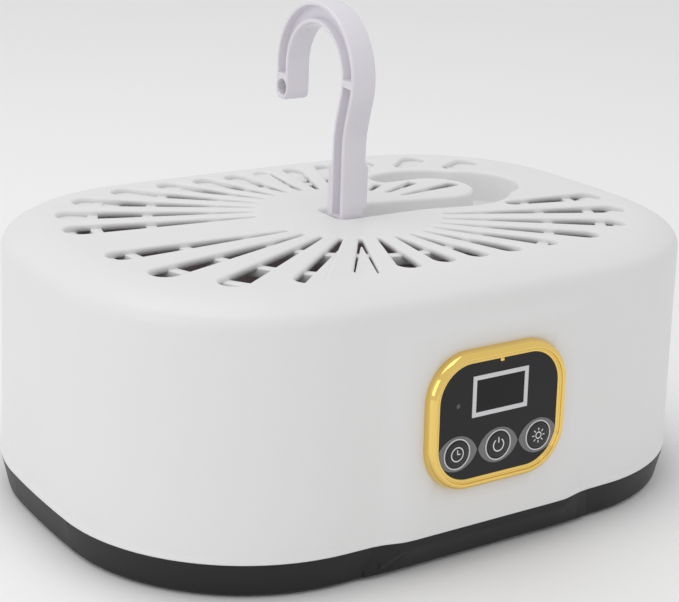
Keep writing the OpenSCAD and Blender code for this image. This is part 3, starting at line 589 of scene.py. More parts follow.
def shell_profile(body):
    """Outer and inner (offset, height) rows of the shell's wall, rim and crown."""
    lean = math.tan(body.draft)
    crown = Vector((-body.crown_width, TOP - body.crown_radius))
    normal = Vector((math.cos(body.draft), math.sin(body.draft)))
    upward = Vector((-normal.y, normal.x))
    foot = Vector((0, SPLIT)) - body.rim_radius * normal
    slope = (foot - crown).dot(upward)
    gap = (foot - crown).length_squared - (body.crown_radius - body.rim_radius) ** 2
    rim = foot + (math.sqrt(slope ** 2 - gap) - slope) * upward
    tilt = math.atan2(rim.y - crown.y, rim.x - crown.x)
    relief = body.lip_relief
    lip = body.lip
    outer = [(-0.5 * MM, SPLIT), (-0.12 * MM, SPLIT + 0.12 * MM), (0, SPLIT + 0.4 * MM),
             (0, SPLIT + lip * 0.7), (-relief * 0.3, SPLIT + lip), (-relief, SPLIT + lip + 0.25 * MM)]
    levels = [SPLIT + 3 * MM, 24 * MM, OPENING_LOW, 58 * MM, OPENING_HIGH]
    levels += [z * MM for z in (86, 89, 91, 93, 95, 97, 99)]
    inner_levels = levels[2:8]
    outer += [(-lean * (z - SPLIT) - relief * (1 - blend(60 * MM, 100 * MM, z)), z) for z in levels]
    rim_start, crown_end = body.draft + 0.04, 0.4957 * math.pi
    outer += [tuple(p) for p in arc(rim, body.rim_radius, rim_start, tilt, 9)]
    outer += [tuple(p) for p in arc(crown, body.crown_radius, tilt, crown_end, 10)[1:]]
    inner = [tuple(p) for p in arc(crown, body.crown_radius - body.plate, math.pi / 2, tilt, 6)]
    inner += [tuple(p) for p in arc(rim, body.rim_radius - body.wall, tilt, body.draft, 5)[1:]]
    thick = body.wall / math.cos(body.draft)
    inner += [(-thick - lean * (z - SPLIT), z) for z in inner_levels[::-1]]
    inner += [(-thick, SPLIT)]
    return outer, inner


def pad_share(x, body):
    """How far a point of the front is moved onto the flat pad: 1 on it, 0 clear of it."""
    return 1 - blend(body.pad_half - 2 * MM, body.pad_half + body.pad_fade + 4 * MM, abs(x))


def tray_pad(plan, body):
    """The smooth front of the tray, where it follows the flat pad above it."""
    skin = Skin()
    reach = body.pad_half + body.pad_fade + 6 * MM
    # How far the tray's foot is inset, its height, and the height at which the pad starts to lean in.
    inset, foot, flat = 2.5 * MM, 2 * MM, SPLIT - 3 * MM
    heights = [SPLIT - 0.05 * MM] + [z * MM for z in (13.2, 12.2, 11.2, 10, 8, 6, 4)] + [foot]
    half_count = 28
    rows = []
    for i in range(2 * half_count + 1):
        x = reach * (i / half_count - 1)
        wall = -plan.side_centre.y - math.sqrt(plan.side_radius ** 2 - x ** 2)
        share = pad_share(x, body)
        sunk = 0.6 * MM * blend(reach - 3 * MM, reach, abs(x))
        outer = []
        for z in heights:
            drop = min(max((flat - z) / (flat - foot), 0), 1)
            pad = -body.half_width - body.pad_out + (inset + body.pad_out) * drop
            lean = wall + inset * (SPLIT - z) / (SPLIT - foot)
            proud = 0.15 * MM * min((SPLIT - z) / (1.5 * MM), 1) + 0.85 * MM * drop
            outer.append((x, lean + (pad - lean) * share - proud + sunk, z))
        inner = [(x, wall + inset + 1.2 * MM, foot + 0.4 * MM), (x, wall + 1.6 * MM, SPLIT - 0.6 * MM)]
        rows.append(skin.loop(outer + inner))
    skin.walls(rows)
    skin.face(rows[0])
    skin.face(rows[-1])
    return skin


def padded_front(plan_point, height, body):
    """A point of the outer wall, moved out onto the flat pad in the middle of the front."""
    x, y = plan_point
    share = pad_share(x, body)
    share *= 1 - blend(body.pad_top, body.pad_top + 9 * MM, height)
    if y > 0 or share == 0:
        return x, y, height
    pad = -body.half_width - body.pad_out + math.tan(body.draft) * (height - SPLIT)
    return x, y + (pad - y) * share, height


def front_columns():
    """X of the columns of faces along the front, two of them on the panel opening's edges."""
    right = [x * MM for x in (0, 6, 12, 18)] + [OPENING_HALF]
    right += [x * MM for x in (30, 34, 38, 40, 42, 44, 46, 48, 52, 57)]
    return [-x for x in right[:0:-1]] + right


def shell_walls(skin, plan, body):
    """The swept wall, inside and out, with the panel's opening. Gives the top and underside rings."""
    outer, inner = shell_profile(body)
    columns = front_columns()
    rings = []
    for offset, height in outer:
        rings.append(skin.loop([padded_front(p, height, body) for p in plan.ring(-offset, columns)]))
    inner_start = len(rings)
    for offset, height in inner:
        rings.append(skin.loop(plan.ring(-offset, columns), height))
    first = len(plan.ring(0, columns)) - plan.CORNER_STEPS - len(columns)
    left = first + columns.index(-OPENING_HALF)
    right = first + columns.index(OPENING_HALF)
    low, high = OPENING_LOW - SLACK, OPENING_HIGH + SLACK
    for i, (a, b) in enumerate(zip(rings, rings[1:])):
        if i + 1 == inner_start:
            continue
        finish = 1 if i >= inner_start else 0
        heights = sorted((skin.points[a[0]].z, skin.points[b[0]].z))
        beside = heights[0] >= low and heights[1] <= high
        for k in range(len(a)):
            j = (k + 1) % len(a)
            if beside and left <= k < right:
                continue
            skin.face((a[k], a[j], b[j], b[k]), finish)
    skin.bridge(rings[-1], rings[0])
    side = {}
    for name, span in (("outer", rings[:inner_start]), ("inner", rings[inner_start:])):
        cut = [r for r in span if low <= skin.points[r[0]].z <= high]
        cut.sort(key=lambda r: skin.points[r[0]].z)
        middle = cut[1:-1]
        side[name] = (cut[0][left:right + 1] + [r[right] for r in middle] + cut[-1][left:right + 1][::-1]
                      + [r[left] for r in middle[::-1]])
    skin.bridge(side["outer"], side["inner"], smooth=False)
    return rings[inner_start - 1], rings[inner_start]


def vented_top(skin, plan, body, vents, hook, recess, top_ring, under_ring):
    """The top plate with its rounded slots and the stowing recess sunk into it."""
    under = TOP - body.plate
    plain = 0.4 * MM
    land = vents.edge + hook.recess_edge + plain
    tops, undersides = [], []
    for slot in open_stretches(sunburst(plan, vents), recess, land):
        loops = [skin.loop(slot.loop(inset), TOP - drop) for inset, drop in quarter_round(vents.edge, 4)]
        loops.append(skin.loop(slot.loop(), under))
        skin.walls(loops)
        tops.append(loops[0])
        undersides.append(loops[-1])
    floor = TOP - hook.recess_depth
    # The recess's wall leans in a little on its way down to the rounded foot.
    rows = [(inset, TOP - drop) for inset, drop in quarter_round(hook.recess_edge, 5)]
    foot = hook.recess_floor
    rows += [(-0.25 * MM, floor + foot + 4 * MM)]
    rows += [(-0.4 * MM - foot * (1 - math.cos(a)), floor + foot * (1 - math.sin(a)))
             for a in quarter(5)]
    loops = [skin.loop(recess.loop(grow), height) for grow, height in rows]
    skin.walls(loops)
    skin.fill(loops[-1])
    outside = [skin.loop(recess.loop(hook.tray), height) for height in (under, floor - hook.tray)]
    skin.walls(outside, finish=1)
    skin.fill(outside[-1], finish=1)
    skin.fill(top_ring, tops + [loops[0]])
    skin.fill(under_ring, undersides + [outside[0]], finish=1)


def shelf(plan, body, vents):
    """The sloping shelf under the slots' outer ends, wider along the back."""
    skin = Skin()
    under = TOP - body.plate

    def inner(less):
        """The inset of the shelf's inner edge by outward direction, drawn back by a length."""
        return lambda out: vents.inset + vents.shelf - less + vents.back_shelf * blend(0.1, 0.6, out.y)

    start = vents.inset - 1.3 * MM
    rows = [(start, 0.8), (vents.inset + 1 * MM, 0.7), (inner(1.5 * MM), 0.1), (inner(0.3 * MM), -0.5),
            (inner(0), -1.3), (inner(0), -3.7), (start, -3.7)]
    loops = [skin.loop(plan.ring(inset), under + lift * MM) for inset, lift in rows]
    skin.walls(loops + loops[:1])
    return skin


def slot_blanks(plan, vents):
    """Plates that blank the middle of some slots, just under the top."""
    skin = Skin()
    slots = sunburst(plan, vents)
    high = TOP - 1.3 * MM
    # The slot, the blank's shift to its side and half its width in millimetres.
    for k, shift, wide in ((3, 2.2, 3.4), (4, 0, 4.5), (vents.count + 7, 0, 4.2)):
        slot = slots[k]
        side = shift * MM * Vector((-slot.way.y, slot.way.x))
        blank = Slot(slot.start + 7 * MM * slot.way + side, slot.end + (wide + 3) * MM * slot.way + side,
                     0.4 * MM, wide * MM)
        loops = [skin.loop(blank.loop(grow * MM), high - drop * MM)
                 for grow, drop in ((-0.25, 0), (0, 0.25), (0, 1.6))]
        skin.walls(loops)
        skin.fill(loops[0])
        skin.fill(loops[-1])
    return skin


# ---- Geometry Nodes for what repeats ----

def link_node(tree, kind, inputs=(), **settings):
    """Adds a node. Inputs are (name or index, value) pairs. A node as a value means its first output."""
    made = tree.nodes.new(kind)
    for name, value in settings.items():
        setattr(made, name, value)
    for name, value in inputs:
        if isinstance(value, bpy.types.Node):
            value = value.outputs[0]
        if isinstance(value, bpy.types.NodeSocket):
            tree.links.new(value, made.inputs[name])
        else:
            made.inputs[name].default_value = value
    return made


def shape_tree(name, lengths):
    """An empty geometry tree with a geometry input and named length inputs."""
    tree = bpy.data.node_groups.new(name, "GeometryNodeTree")
    tree.interface.new_socket("Geometry", in_out="INPUT", socket_type="NodeSocketGeometry")
    for label in lengths:
        tree.interface.new_socket(label, in_out="INPUT", socket_type="NodeSocketFloat")
    tree.interface.new_socket("Geometry", in_out="OUTPUT", socket_type="NodeSocketGeometry")
    return tree, tree.nodes.new("NodeGroupInput").outputs


def end_tree(tree, result, finish):
    """Ends a geometry tree in Realize Instances and Set Material."""
    real = link_node(tree, "GeometryNodeRealizeInstances", [("Geometry", result)])
    done = link_node(tree, "GeometryNodeSetMaterial", [("Geometry", real), ("Material", finish)])
    link_node(tree, "NodeGroupOutput", [("Geometry", done)])


def on_points(tree, given, instance):
    """Puts a copy of a shape on each point of the tree's geometry."""
    return link_node(tree, "GeometryNodeInstanceOnPoints",
                     [("Points", given["Geometry"]), ("Instance", instance)])


def grown(tree, skin, lengths):
    """The plain mesh that a tree makes of a skin's points and faces."""
    source = put(tree.name, skin.mesh(tree.name))
    maker = source.modifiers.new("maker", "NODES")
    maker.node_group = tree
    keys = {s.name: s.identifier for s in tree.interface.items_tree if s.in_out == "INPUT"}
    for label, value in lengths.items():
        maker[keys[label]] = value
    graph = bpy.context.evaluated_depsgraph_get()
    result = bpy.data.meshes.new_from_object(source.evaluated_get(graph))
    bpy.data.objects.remove(source)
    return result


def swept(tree, path, width, height, radius, count, caps):
    """Sweeps a rectangle with rounded corners along a path."""
    section = link_node(tree, "GeometryNodeCurvePrimitiveQuadrilateral",
                        [("Width", width), ("Height", height)])
    rounded = link_node(tree, "GeometryNodeFilletCurve",
                        [("Curve", section), ("Radius", radius), ("Count", count)], mode="POLY")
    upright = link_node(tree, "GeometryNodeSetCurveNormal", [("Curve", path)], mode="Z_UP")
    return link_node(tree, "GeometryNodeCurveToMesh",
                     [("Curve", upright), ("Profile Curve", rounded), ("Fill Caps", caps)])


def bar_tree(finish):
    """Sweeps a rectangular bar along each path of edges."""
    tree, given = shape_tree("ring_bars", ("Width", "Height"))
    path = link_node(tree, "GeometryNodeMeshToCurve", [("Mesh", given["Geometry"])])
    end_tree(tree, swept(tree, path, given["Width"], given["Height"], 0.5 * MM, 2, True), finish)
    return tree


def ring_paths(plan, body, vents, recess, hook):
    """Paths of the ring bars, left out where the recess or the crowned band comes in their way."""
    paths = Skin()
    height = TOP - body.plate + 0.8 * MM - vents.bar_height / 2
    half = vents.bar_width / 2
    for beyond in (17, 43, 65):
        radius = vents.hub + beyond * MM
        last = None
        for i in range(361):
            a = math.radians(i)
            out = unit(a)
            inside = plan.reach(a, body.crown_width + 0.8 * MM) > radius + half
            clear = all(recess.clearance(r * out) > hook.tray / 2
                        for r in (radius - half, radius, radius + half))
            here = paths.loop([radius * out], height)[0] if inside and clear else None
            if last is not None and here is not None:
                paths.face((last, here))
            last = here
    return paths


def screw_tree(finish):
    """Puts a pan-head screw with a cross recess on each point, its head towards +Z."""
    tree, given = shape_tree("screws", ("Head Radius", "Head Height", "Shank Radius", "Shank Length"))

    def scaled(socket, factor):
        return link_node(tree, "ShaderNodeMath", [(0, given[socket]), (1, factor)], operation="MULTIPLY")

    def moved(shape, height):
        lift = link_node(tree, "ShaderNodeCombineXYZ", [("Z", height)])
        return link_node(tree, "GeometryNodeTransform", [("Geometry", shape), ("Translation", lift)])

    head = link_node(tree, "GeometryNodeMeshCone",
                     [("Vertices", 28), ("Radius Top", scaled("Head Radius", 0.78)),
                      ("Radius Bottom", given["Head Radius"]), ("Depth", given["Head Height"])])
    cut = link_node(tree, "GeometryNodeMeshBoolean", [("Mesh 1", head)], operation="DIFFERENCE",
                    solver="EXACT")
    high = scaled("Head Height", 1.05)
    long, narrow = scaled("Head Radius", 1.15), scaled("Head Radius", 0.26)
    for across, along in ((long, narrow), (narrow, long)):
        extent = link_node(tree, "ShaderNodeCombineXYZ",
                           [("X", across), ("Y", along), ("Z", given["Head Height"])])
        blade = link_node(tree, "GeometryNodeMeshCube", [("Size", extent)])
        tree.links.new(moved(blade, high).outputs[0], cut.inputs["Mesh 2"])
    shank = link_node(tree, "GeometryNodeMeshCylinder",
                      [("Vertices", 20), ("Radius", given["Shank Radius"]), ("Depth", given["Shank Length"])])
    screw = link_node(tree, "GeometryNodeJoinGeometry")
    for part in (cut, moved(shank, scaled("Shank Length", -0.498))):
        tree.links.new(part.outputs[0], screw.inputs[0])
    end_tree(tree, on_points(tree, given, screw), finish)
    return tree


def make_screws(node, centres, sizes, place, body, finish):
    """The screws of one node, standing on the points of a plane. Sizes in millimetres, as in the tree."""
    points = Skin()
    points.loop([Vector(c) * MM for c in centres], 0)
    labels = ("Head Radius", "Head Height", "Shank Radius", "Shank Length")
    mesh = grown(screw_tree(finish), points, {label: length * MM for label, length in zip(labels, sizes)})
    mesh.transform(place)
    dress(f"{node}_pan_head", mesh, body, [finish], [node])


# ---- the hook ----

class HookPath:
    """The line through the middle of the hook's section: distance along it, place and direction."""
    KNEE_RADIUS = 45 * MM

    def __init__(self, hook):
        self.hook = hook
        lean = hook.lean
        knee = (hook.rise - hook.bend * math.sin(lean)
                - (hook.bend * math.cos(lean) - hook.reach) / math.tan(lean))
        trim = self.KNEE_RADIUS * math.tan(lean / 2)
        self.upright = knee - trim
        self.bend = Vector((hook.reach, hook.rise))
        self.bend_start = self.bend - hook.bend * unit(lean)
        neck = (self.bend_start - Vector((0, knee))).length - trim
        self.marks = [self.upright, self.KNEE_RADIUS * lean, neck, hook.bend * (math.pi + lean), hook.tip]
        for i in range(1, len(self.marks)):
            self.marks[i] += self.marks[i - 1]

    def at(self, s):
        """Place in the plane of the bend, and the direction of travel, at a distance from the pivot."""
        hook, lean = self.hook, self.hook.lean
        if s <= self.marks[0]:
            return Vector((0, s)), math.pi / 2
        if s <= self.marks[1]:
            a = (s - self.marks[0]) / self.KNEE_RADIUS
            r = self.KNEE_RADIUS
            return Vector((r * math.cos(a) - r, self.upright + r * math.sin(a))), math.pi / 2 + a
        if s <= self.marks[2]:
            back = self.marks[2] - s
            return self.bend_start + back * Vector((math.sin(lean), -math.cos(lean))), math.pi / 2 + lean
        if s <= self.marks[3]:
            a = math.pi + lean - (s - self.marks[2]) / hook.bend
            return self.bend + hook.bend * unit(a), a - math.pi / 2
        return self.bend + Vector((hook.bend, self.marks[3] - s)), -math.pi / 2


def hook_section(hook, half_left, half_right, low, high, left_cut, right_cut, edge, flat):
    """The section's outline: across the hook, then towards the inside of the bend. A cut is the depth
    of the channel on a side, and flat is the share of the section's depth that is left."""
    groove = hook.depth / 2 - hook.rim
    points = []
    corners = ((half_right, low, -1, right_cut), (half_right, high, 0, None),
               (-half_left, high, 1, left_cut), (-half_left, low, 2, None))
    for u, v, quarter, cut in corners:
        sx, sy = (1 if u > 0 else -1), (1 if v == high else -1)
        start = quarter * math.pi / 2
        points += arc((u - sx * edge, v - sy * edge), edge, start, start + math.pi / 2, 4)
        if cut is None:
            continue
        soft = min(cut, 0.3 * MM)
        side = [(0, 0.25 * MM), (soft * 0.4, 0), (cut - soft, -0.3 * MM), (cut, -0.65 * MM)]
        rim = [(u - sx * deep, sy * flat * (groove + out)) for deep, out in side]
        points += [Vector(p) for p in rim] + [Vector((x, -y)) for x, y in rim[::-1]]
    return points


def round_off(past, radius):
    """The share of a section that is left at a distance past the start of its rounded end."""
    return math.sqrt(max(1 - (max(past, 0) / radius) ** 2, 0))


def hook_body(hook):
    """The hook as one loft, with a channel on either side."""
    path = HookPath(hook)
    end = path.marks[4]
    foot, round_tip, tip_corner = hook.width / 2, hook.depth / 2, 1.6 * MM
    # The shank is thicker behind and beside, between two short steps.
    swell, swell_side = 2.4 * MM, 1.5 * MM
    swell_low, swell_high = (9 * MM, 9.7 * MM), (26.3 * MM, 27 * MM)
    # The channels stop in ramps at a rib in the bend and at the solid tip.
    ramp = 0.45 * MM
    rib = (path.marks[2] + 4.4 * MM, path.marks[2] + 7.2 * MM)
    tip_block = path.marks[3] + 4 * MM
    spans = [[(start, rib[0]), (rib[1], tip_block)] for start in (6 * MM, 30 * MM)]
    stops = {0.0, end - round_tip, *swell_low, *swell_high}
    for span in spans:
        for a, b in span:
            stops |= {a, a + ramp / 2, a + ramp, b - ramp, b - ramp / 2, b}
    for share in [math.sin(math.radians(a)) for a in (15, 30, 45, 60, 72, 82, 87)]:
        stops |= {-foot * share, end - round_tip + round_tip * share}
    spacing, nearest = 1.6 * MM, 0.02 * MM
    stops |= {i * spacing for i in range(1, int(end / spacing))}
    stops = sorted(s for s in stops if s < end)
    spaced = [s for i, s in enumerate(stops) if i == 0 or s - stops[i - 1] > nearest]
    skin = Skin()
    loops = []
    for s in spaced:
        centre, way = path.at(s)
        inward = Vector((math.sin(way), -math.cos(way)))
        narrow, flat = round_off(-s, foot), round_off(s - end + round_tip, round_tip)
        tip_in = tip_corner * (1 - round_off(s - end + tip_corner, tip_corner))
        thick = 1 - blend(*swell_high, s)
        behind, beside = swell * thick, swell_side * blend(*swell_low, s) * thick
        cuts = [sum((hook.width - hook.web) / 2 * blend(a, a + ramp, s) * (1 - blend(b - ramp, b, s))
                    for a, b in span) for span in spans]
        half = hook.width / 2 * narrow - tip_in
        plan = hook_section(hook, half, (hook.width / 2 + beside) * narrow - tip_in,
                            -hook.depth / 2 * flat, (hook.depth / 2 + behind) * flat, *cuts,
                            hook.edge * min(narrow, flat), flat)
        if flat < 1 or narrow < 1:
            plan = [Vector((min(max(p.x, -half), half), p.y)) for p in plan]
        loops.append(skin.loop([(p.x, centre.x + p.y * inward.x, centre.y + p.y * inward.y) for p in plan]))
    skin.walls(loops)
    skin.face(loops[0])
    skin.face(loops[-1])
    return skin, path


def carved(skin, cutters):
    """The mesh left when closed skins are cut out of a closed skin."""
    def solid(name, shape):
        mesh = shape.mesh(name)
        work = bmesh.new()
        work.from_mesh(mesh)
        bmesh.ops.recalc_face_normals(work, faces=work.faces)
        work.to_mesh(mesh)
        work.free()
        return put(name, mesh)

    whole = solid("whole", skin)
    tools = [solid("cutter", c) for c in cutters]
    for tool in tools:
        cut = whole.modifiers.new("cut", "BOOLEAN")
        cut.operation, cut.solver, cut.object = "DIFFERENCE", "EXACT", tool
    mesh = bpy.data.meshes.new_from_object(whole.evaluated_get(bpy.context.evaluated_depsgraph_get()))
    for made in [whole] + tools:
        bpy.data.objects.remove(made)
    mesh.polygons.foreach_set("use_smooth", [True] * len(mesh.polygons))
    return mesh


def make_hook(hook, finish):
    """The hook with its socket and pivot bore."""
    skin, path = hook_body(hook)
    pivot = pivot_place()
    tip, _ = path.at(path.marks[4] - hook.depth / 2 - 1 * MM)
    across = Matrix.Rotation(math.pi / 2, 4, "Y")
    low, deep = -1 * MM, 9 * MM
    socket = lathe([(0, low), (hook.socket + 0.5 * MM, low), (hook.socket + 0.4 * MM, 0),
                    (hook.socket + 0.1 * MM, 0.3 * MM), (hook.socket, 0.7 * MM), (hook.socket, deep),
                    (0, deep)])
    socket_place = Matrix.Translation((-hook.width / 2, tip.x, tip.y)) @ across
    bore_radius, through = 2.06 * MM, 20 * MM
    bore = lathe([(0, -through), (bore_radius, -through), (bore_radius, through), (0, through)], 32)
    cutters = [Skin(), Skin()]
    cutters[0].add(socket, socket_place)
    cutters[1].add(bore, Matrix.Rotation(math.pi / 2, 4, "X"))
    mesh = carved(skin, cutters)
    mesh.transform(Matrix.Translation(pivot))
    piece = dress("hanging_hook_moulded", mesh, "hook", [finish], ["hanging_hook"])
    piece.data.set_sharp_from_angle(angle=math.radians(38))
    return piece


def pivot_place():
    """The point on the hook's hinge axis at the middle of its foot."""
    hinge = next(j for j in frame["joints"] if j["name"] == "hook_fold")
    return Vector(hinge["pos_m"])


# ---- the control panel, in its own plane: X across, Y up, Z outwards ----

def panel_place(body, panel):
    """From the panel's plane to the frame."""
    y = -body.half_width - body.pad_out + math.tan(body.draft) * (panel.centre - SPLIT)
    return Matrix.Translation((0, y, panel.centre)) @ Matrix.Rotation(math.pi / 2 - body.draft, 4, "X")


def make_bezel(panel, place, finish):
    """The polished bezel: a broad rounded band, two fine inner rings and a small tab."""
    thick = panel.thickness
    crest, low = -2.5 * MM, 0.7 * MM
    band = [(crest - crest * math.cos(a), low + (thick - low) * math.sin(a)) for a in quarter(12)]
    band += [(crest - 0.55 * MM * math.sin(a), thick - 0.45 * MM * (1 - math.cos(a)))
             for a in quarter(4)[1:]]
    steps = [(-3.08, 3.95), (-3.2, 3.98), (-3.42, 4.02), (-3.62, 3.9), (-3.7, 3.68), (-3.84, 3.66),
             (-4.05, 3.7), (-4.3, 3.6), (-4.5, 3.4), (-4.56, 3.21)]
    inner, seat = -3.6 * MM, panel.face + 0.01 * MM
    profile = [(0, 0)] + band + [(x * MM, z * MM) for x, z in steps] + [(inner, seat), (inner, 0)]
    skin = Skin()
    loops = [skin.loop(rounded_rectangle(panel.width, panel.height, panel.radius, out, 20), z)
             for out, z in profile]
    skin.walls(loops + loops[:1])
    y = panel.height / 2 - 4.9 * MM
    skin.add(box_skin((-0.9 * MM, y - 0.75 * MM, seat), (0.9 * MM, y + 0.6 * MM, panel.face + 0.6 * MM),
                      0.2 * MM))
    piece = skin.piece("panel_bezel_polished", "housing", [finish], ["panel_bezel"], "gold_trim", place)
    piece.data.set_sharp_from_angle(angle=math.radians(50))
    return piece


def key_dome(panel, r):
    """Height of a key's crowned face at a radius."""
    return panel.face + 0.5 * MM - 0.22 * MM * (r / panel.key) ** 2


def key_skin(panel):
    """A key with its stem, its stop flange and its crowned cap."""
    cap = panel.key
    face = [(r * cap, key_dome(panel, r * cap)) for r in (0.86, 0.7, 0.5, 0.25)]
    stem, flange = 2.4, 5.9
    profile = [(r * MM, z * MM) for r, z in (
        (0, -1.05), (2.25, -1.05), (stem, -0.9), (stem, 0.7), (flange, 0.7), (flange, 1.3), (stem, 1.3),
        (stem, 1.8))]
    profile += [(cap - 0.15 * MM, 1.8 * MM), (cap, 1.95 * MM), (cap, panel.face - 0.25 * MM),
                (cap - 0.1 * MM, panel.face + 0.02 * MM), (cap - 0.35 * MM, panel.face + 0.2 * MM)]
    return lathe(profile + face + [(0, key_dome(panel, 0))], 56)


def mark(panel, outline_pairs):
    """A thin raised mark on a key's face, between pairs of inner and outer points."""
    skin = Skin()
    sunk, raised, touching = -0.05 * MM, 0.04 * MM, 1e-7

    def lift(p, up):
        return p[0], p[1], key_dome(panel, math.hypot(p[0], p[1])) + up

    rows = [skin.loop([lift(inner, sunk), lift(outer, sunk), lift(outer, raised), lift(inner, raised)])
            for inner, outer in outline_pairs]
    closed = (Vector(outline_pairs[0][0]) - Vector(outline_pairs[-1][0])).length < touching
    skin.walls(rows[:-1] + rows[:1] if closed else rows, smooth=False)
    if not closed:
        skin.face(rows[0], smooth=False)
        skin.face(rows[-1], smooth=False)
    return skin


def ring_mark(panel, inner, outer, start=0.0, end=360.0, steps=40):
    """A ring or an arc of a ring."""
    a, b = math.radians(start), math.radians(end)
    return mark(panel, list(zip(arc((0, 0), inner, a, b, steps), arc((0, 0), outer, a, b, steps))))


def bar_mark(panel, start, end, width):
    """A straight bar."""
    a, b = Vector(start), Vector(end)
    across = Vector((a.y - b.y, b.x - a.x)).normalized() * width / 2
    middle = [a.lerp(b, i / 4) for i in range(5)]
    return mark(panel, [(p - across, p + across) for p in middle])


def timer_mark(panel):
    """A clock face."""
    skin = ring_mark(panel, 2.5 * MM, 2.9 * MM)
    skin.add(bar_mark(panel, (0, 0), (0, 1.8 * MM), 0.4 * MM))
    skin.add(bar_mark(panel, (0.1 * MM, 0), (1.3 * MM, 0), 0.4 * MM))
    return skin


def power_mark(panel):
    """An open ring with a bar in its gap."""
    skin = ring_mark(panel, 2.2 * MM, 2.65 * MM, 125, 415)
    skin.add(bar_mark(panel, (0, 0.9 * MM), (0, 3 * MM), 0.45 * MM))
    return skin


def sterilise_mark(panel):
    """A lamp's ring with eight rays."""
    skin = ring_mark(panel, 1.05 * MM, 1.45 * MM)
    for k in range(8):
        way = unit(k * math.pi / 4)
        skin.add(bar_mark(panel, 2.0 * MM * way, 3.0 * MM * way, 0.4 * MM))
    return skin


def make_key(name, place_x, sign, panel, place, finishes):
    """One key with its printed mark, riding on its own body."""
    here = place @ Matrix.Translation((place_x, -panel.keys_below, 0))
    key_skin(panel).piece(f"{name}_cap", name, [finishes["key"]], [name], "panel_black", here)
    sign.piece(f"{name}_mark", name, [finishes["mark"]], (), "silver_trim", here)


def ring_tree(finish):
    """Puts a bright ring, a turned profile with a rounded rim, on each point."""
    tree, given = shape_tree("key_rings", ("Ring Radius", "Band", "Height"))
    circle = link_node(tree, "GeometryNodeCurvePrimitiveCircle",
                       [("Resolution", 56), ("Radius", given["Ring Radius"])])
    ring = swept(tree, circle, given["Band"], given["Height"], 0.2 * MM, 3, False)
    end_tree(tree, on_points(tree, given, ring), finish)
    return tree


def clamped(point, width, height, radius):
    """The point, moved to the edge of a round-cornered rectangle where it lies outside it."""
    x = min(abs(point.x), width / 2)
    y = min(abs(point.y), height / 2)
    beyond = Vector((x - width / 2 + radius, y - height / 2 + radius))
    if min(beyond) > 0 and beyond.length > radius:
        beyond *= radius / beyond.length
        x, y = beyond.x + width / 2 - radius, beyond.y + height / 2 - radius
    return Vector((math.copysign(x, point.x), math.copysign(y, point.y)))


def make_almonds(panel, place, finish):
    """The printed almonds that the keys stand in, clipped where they meet the bezel."""
    skin = Skin()
    half_w, half_h = panel.almond_width / 2, panel.almond_height / 2
    radius = (half_w ** 2 + half_h ** 2) / (2 * half_h)
    spread = math.asin(half_w / radius)
    low = arc((0, radius - half_h), radius, -math.pi / 2 - spread, -math.pi / 2 + spread, 20)
    lens = low[:-1] + [-p for p in low[:-1]]
    room, inset, sunk, raised = 0.82 * MM, 9.3 * MM, -0.05 * MM, 0.1 * MM
    hole = arc((0, 0), panel.key + room, 0, math.tau, 48)[:-1]
    for k in (-1, 0, 1):
        centre = Vector((k * panel.pitch, -panel.keys_below))
        plan = [clamped(centre + p, panel.width - inset, panel.height - inset, panel.radius - inset / 2)
                for p in lens]
        loops = []
        for height in (panel.face + sunk, panel.face + raised):
            loops.append((skin.loop(plan, height), skin.loop([centre + p for p in hole], height)))
        for outer, inner in loops:
            skin.fill(outer, [inner])
        for a, b in zip(*loops):
            skin.bridge(a, b, smooth=False)
    return skin.piece("key_almonds", "housing", [finish], (), "silver_trim", place)


# ---- finishes ----

# Sockets of a mix node that mixes colours.
MIX_SHARE, MIX_A, MIX_B, MIX_RESULT = 0, 6, 7, 2


def mixed(tree, share, a, b):
    """The socket of a mix of two colours."""
    made = link_node(tree, "ShaderNodeMix", [(MIX_SHARE, share), (MIX_A, a), (MIX_B, b)], data_type="RGBA")
    return made.outputs[MIX_RESULT]


def grain_group():
    """Fine moulded grain: a height for the bump and a mottle that shades the colour."""
    made = bpy.data.node_groups.get("moulded_grain")
    if made:
        return made
    tree = bpy.data.node_groups.new("moulded_grain", "ShaderNodeTree")
    for label, kind in (("Vector", "Vector"), ("Fineness", "Float"), ("Mottle", "Float")):
        tree.interface.new_socket(label, in_out="INPUT", socket_type=f"NodeSocket{kind}")
    for label in ("Height", "Shade", "Gloss"):
        tree.interface.new_socket(label, in_out="OUTPUT", socket_type="NodeSocketFloat")
    given = tree.nodes.new("NodeGroupInput").outputs
    fine = link_node(tree, "ShaderNodeTexNoise", [("Vector", given["Vector"]), ("Scale", given["Fineness"]),
                     ("Detail", 2.0), ("Roughness", 0.6)])
    broad = link_node(tree, "ShaderNodeTexNoise", [("Vector", given["Vector"]), ("Scale", 26.0),
                      ("Detail", 4.0), ("Roughness", 0.55)])
    swing = link_node(tree, "ShaderNodeMath", [(0, broad), (1, given["Mottle"])], operation="MULTIPLY")
    shade = link_node(tree, "ShaderNodeMath", [(0, 1.0), (1, swing)], operation="SUBTRACT")
    gloss = link_node(tree, "ShaderNodeMapRange", [("Value", broad), ("From Min", 0.3), ("From Max", 0.7),
                      ("To Min", -0.03), ("To Max", 0.03)])
    link_node(tree, "NodeGroupOutput", [("Height", fine), ("Shade", shade), ("Gloss", gloss)])
    return tree


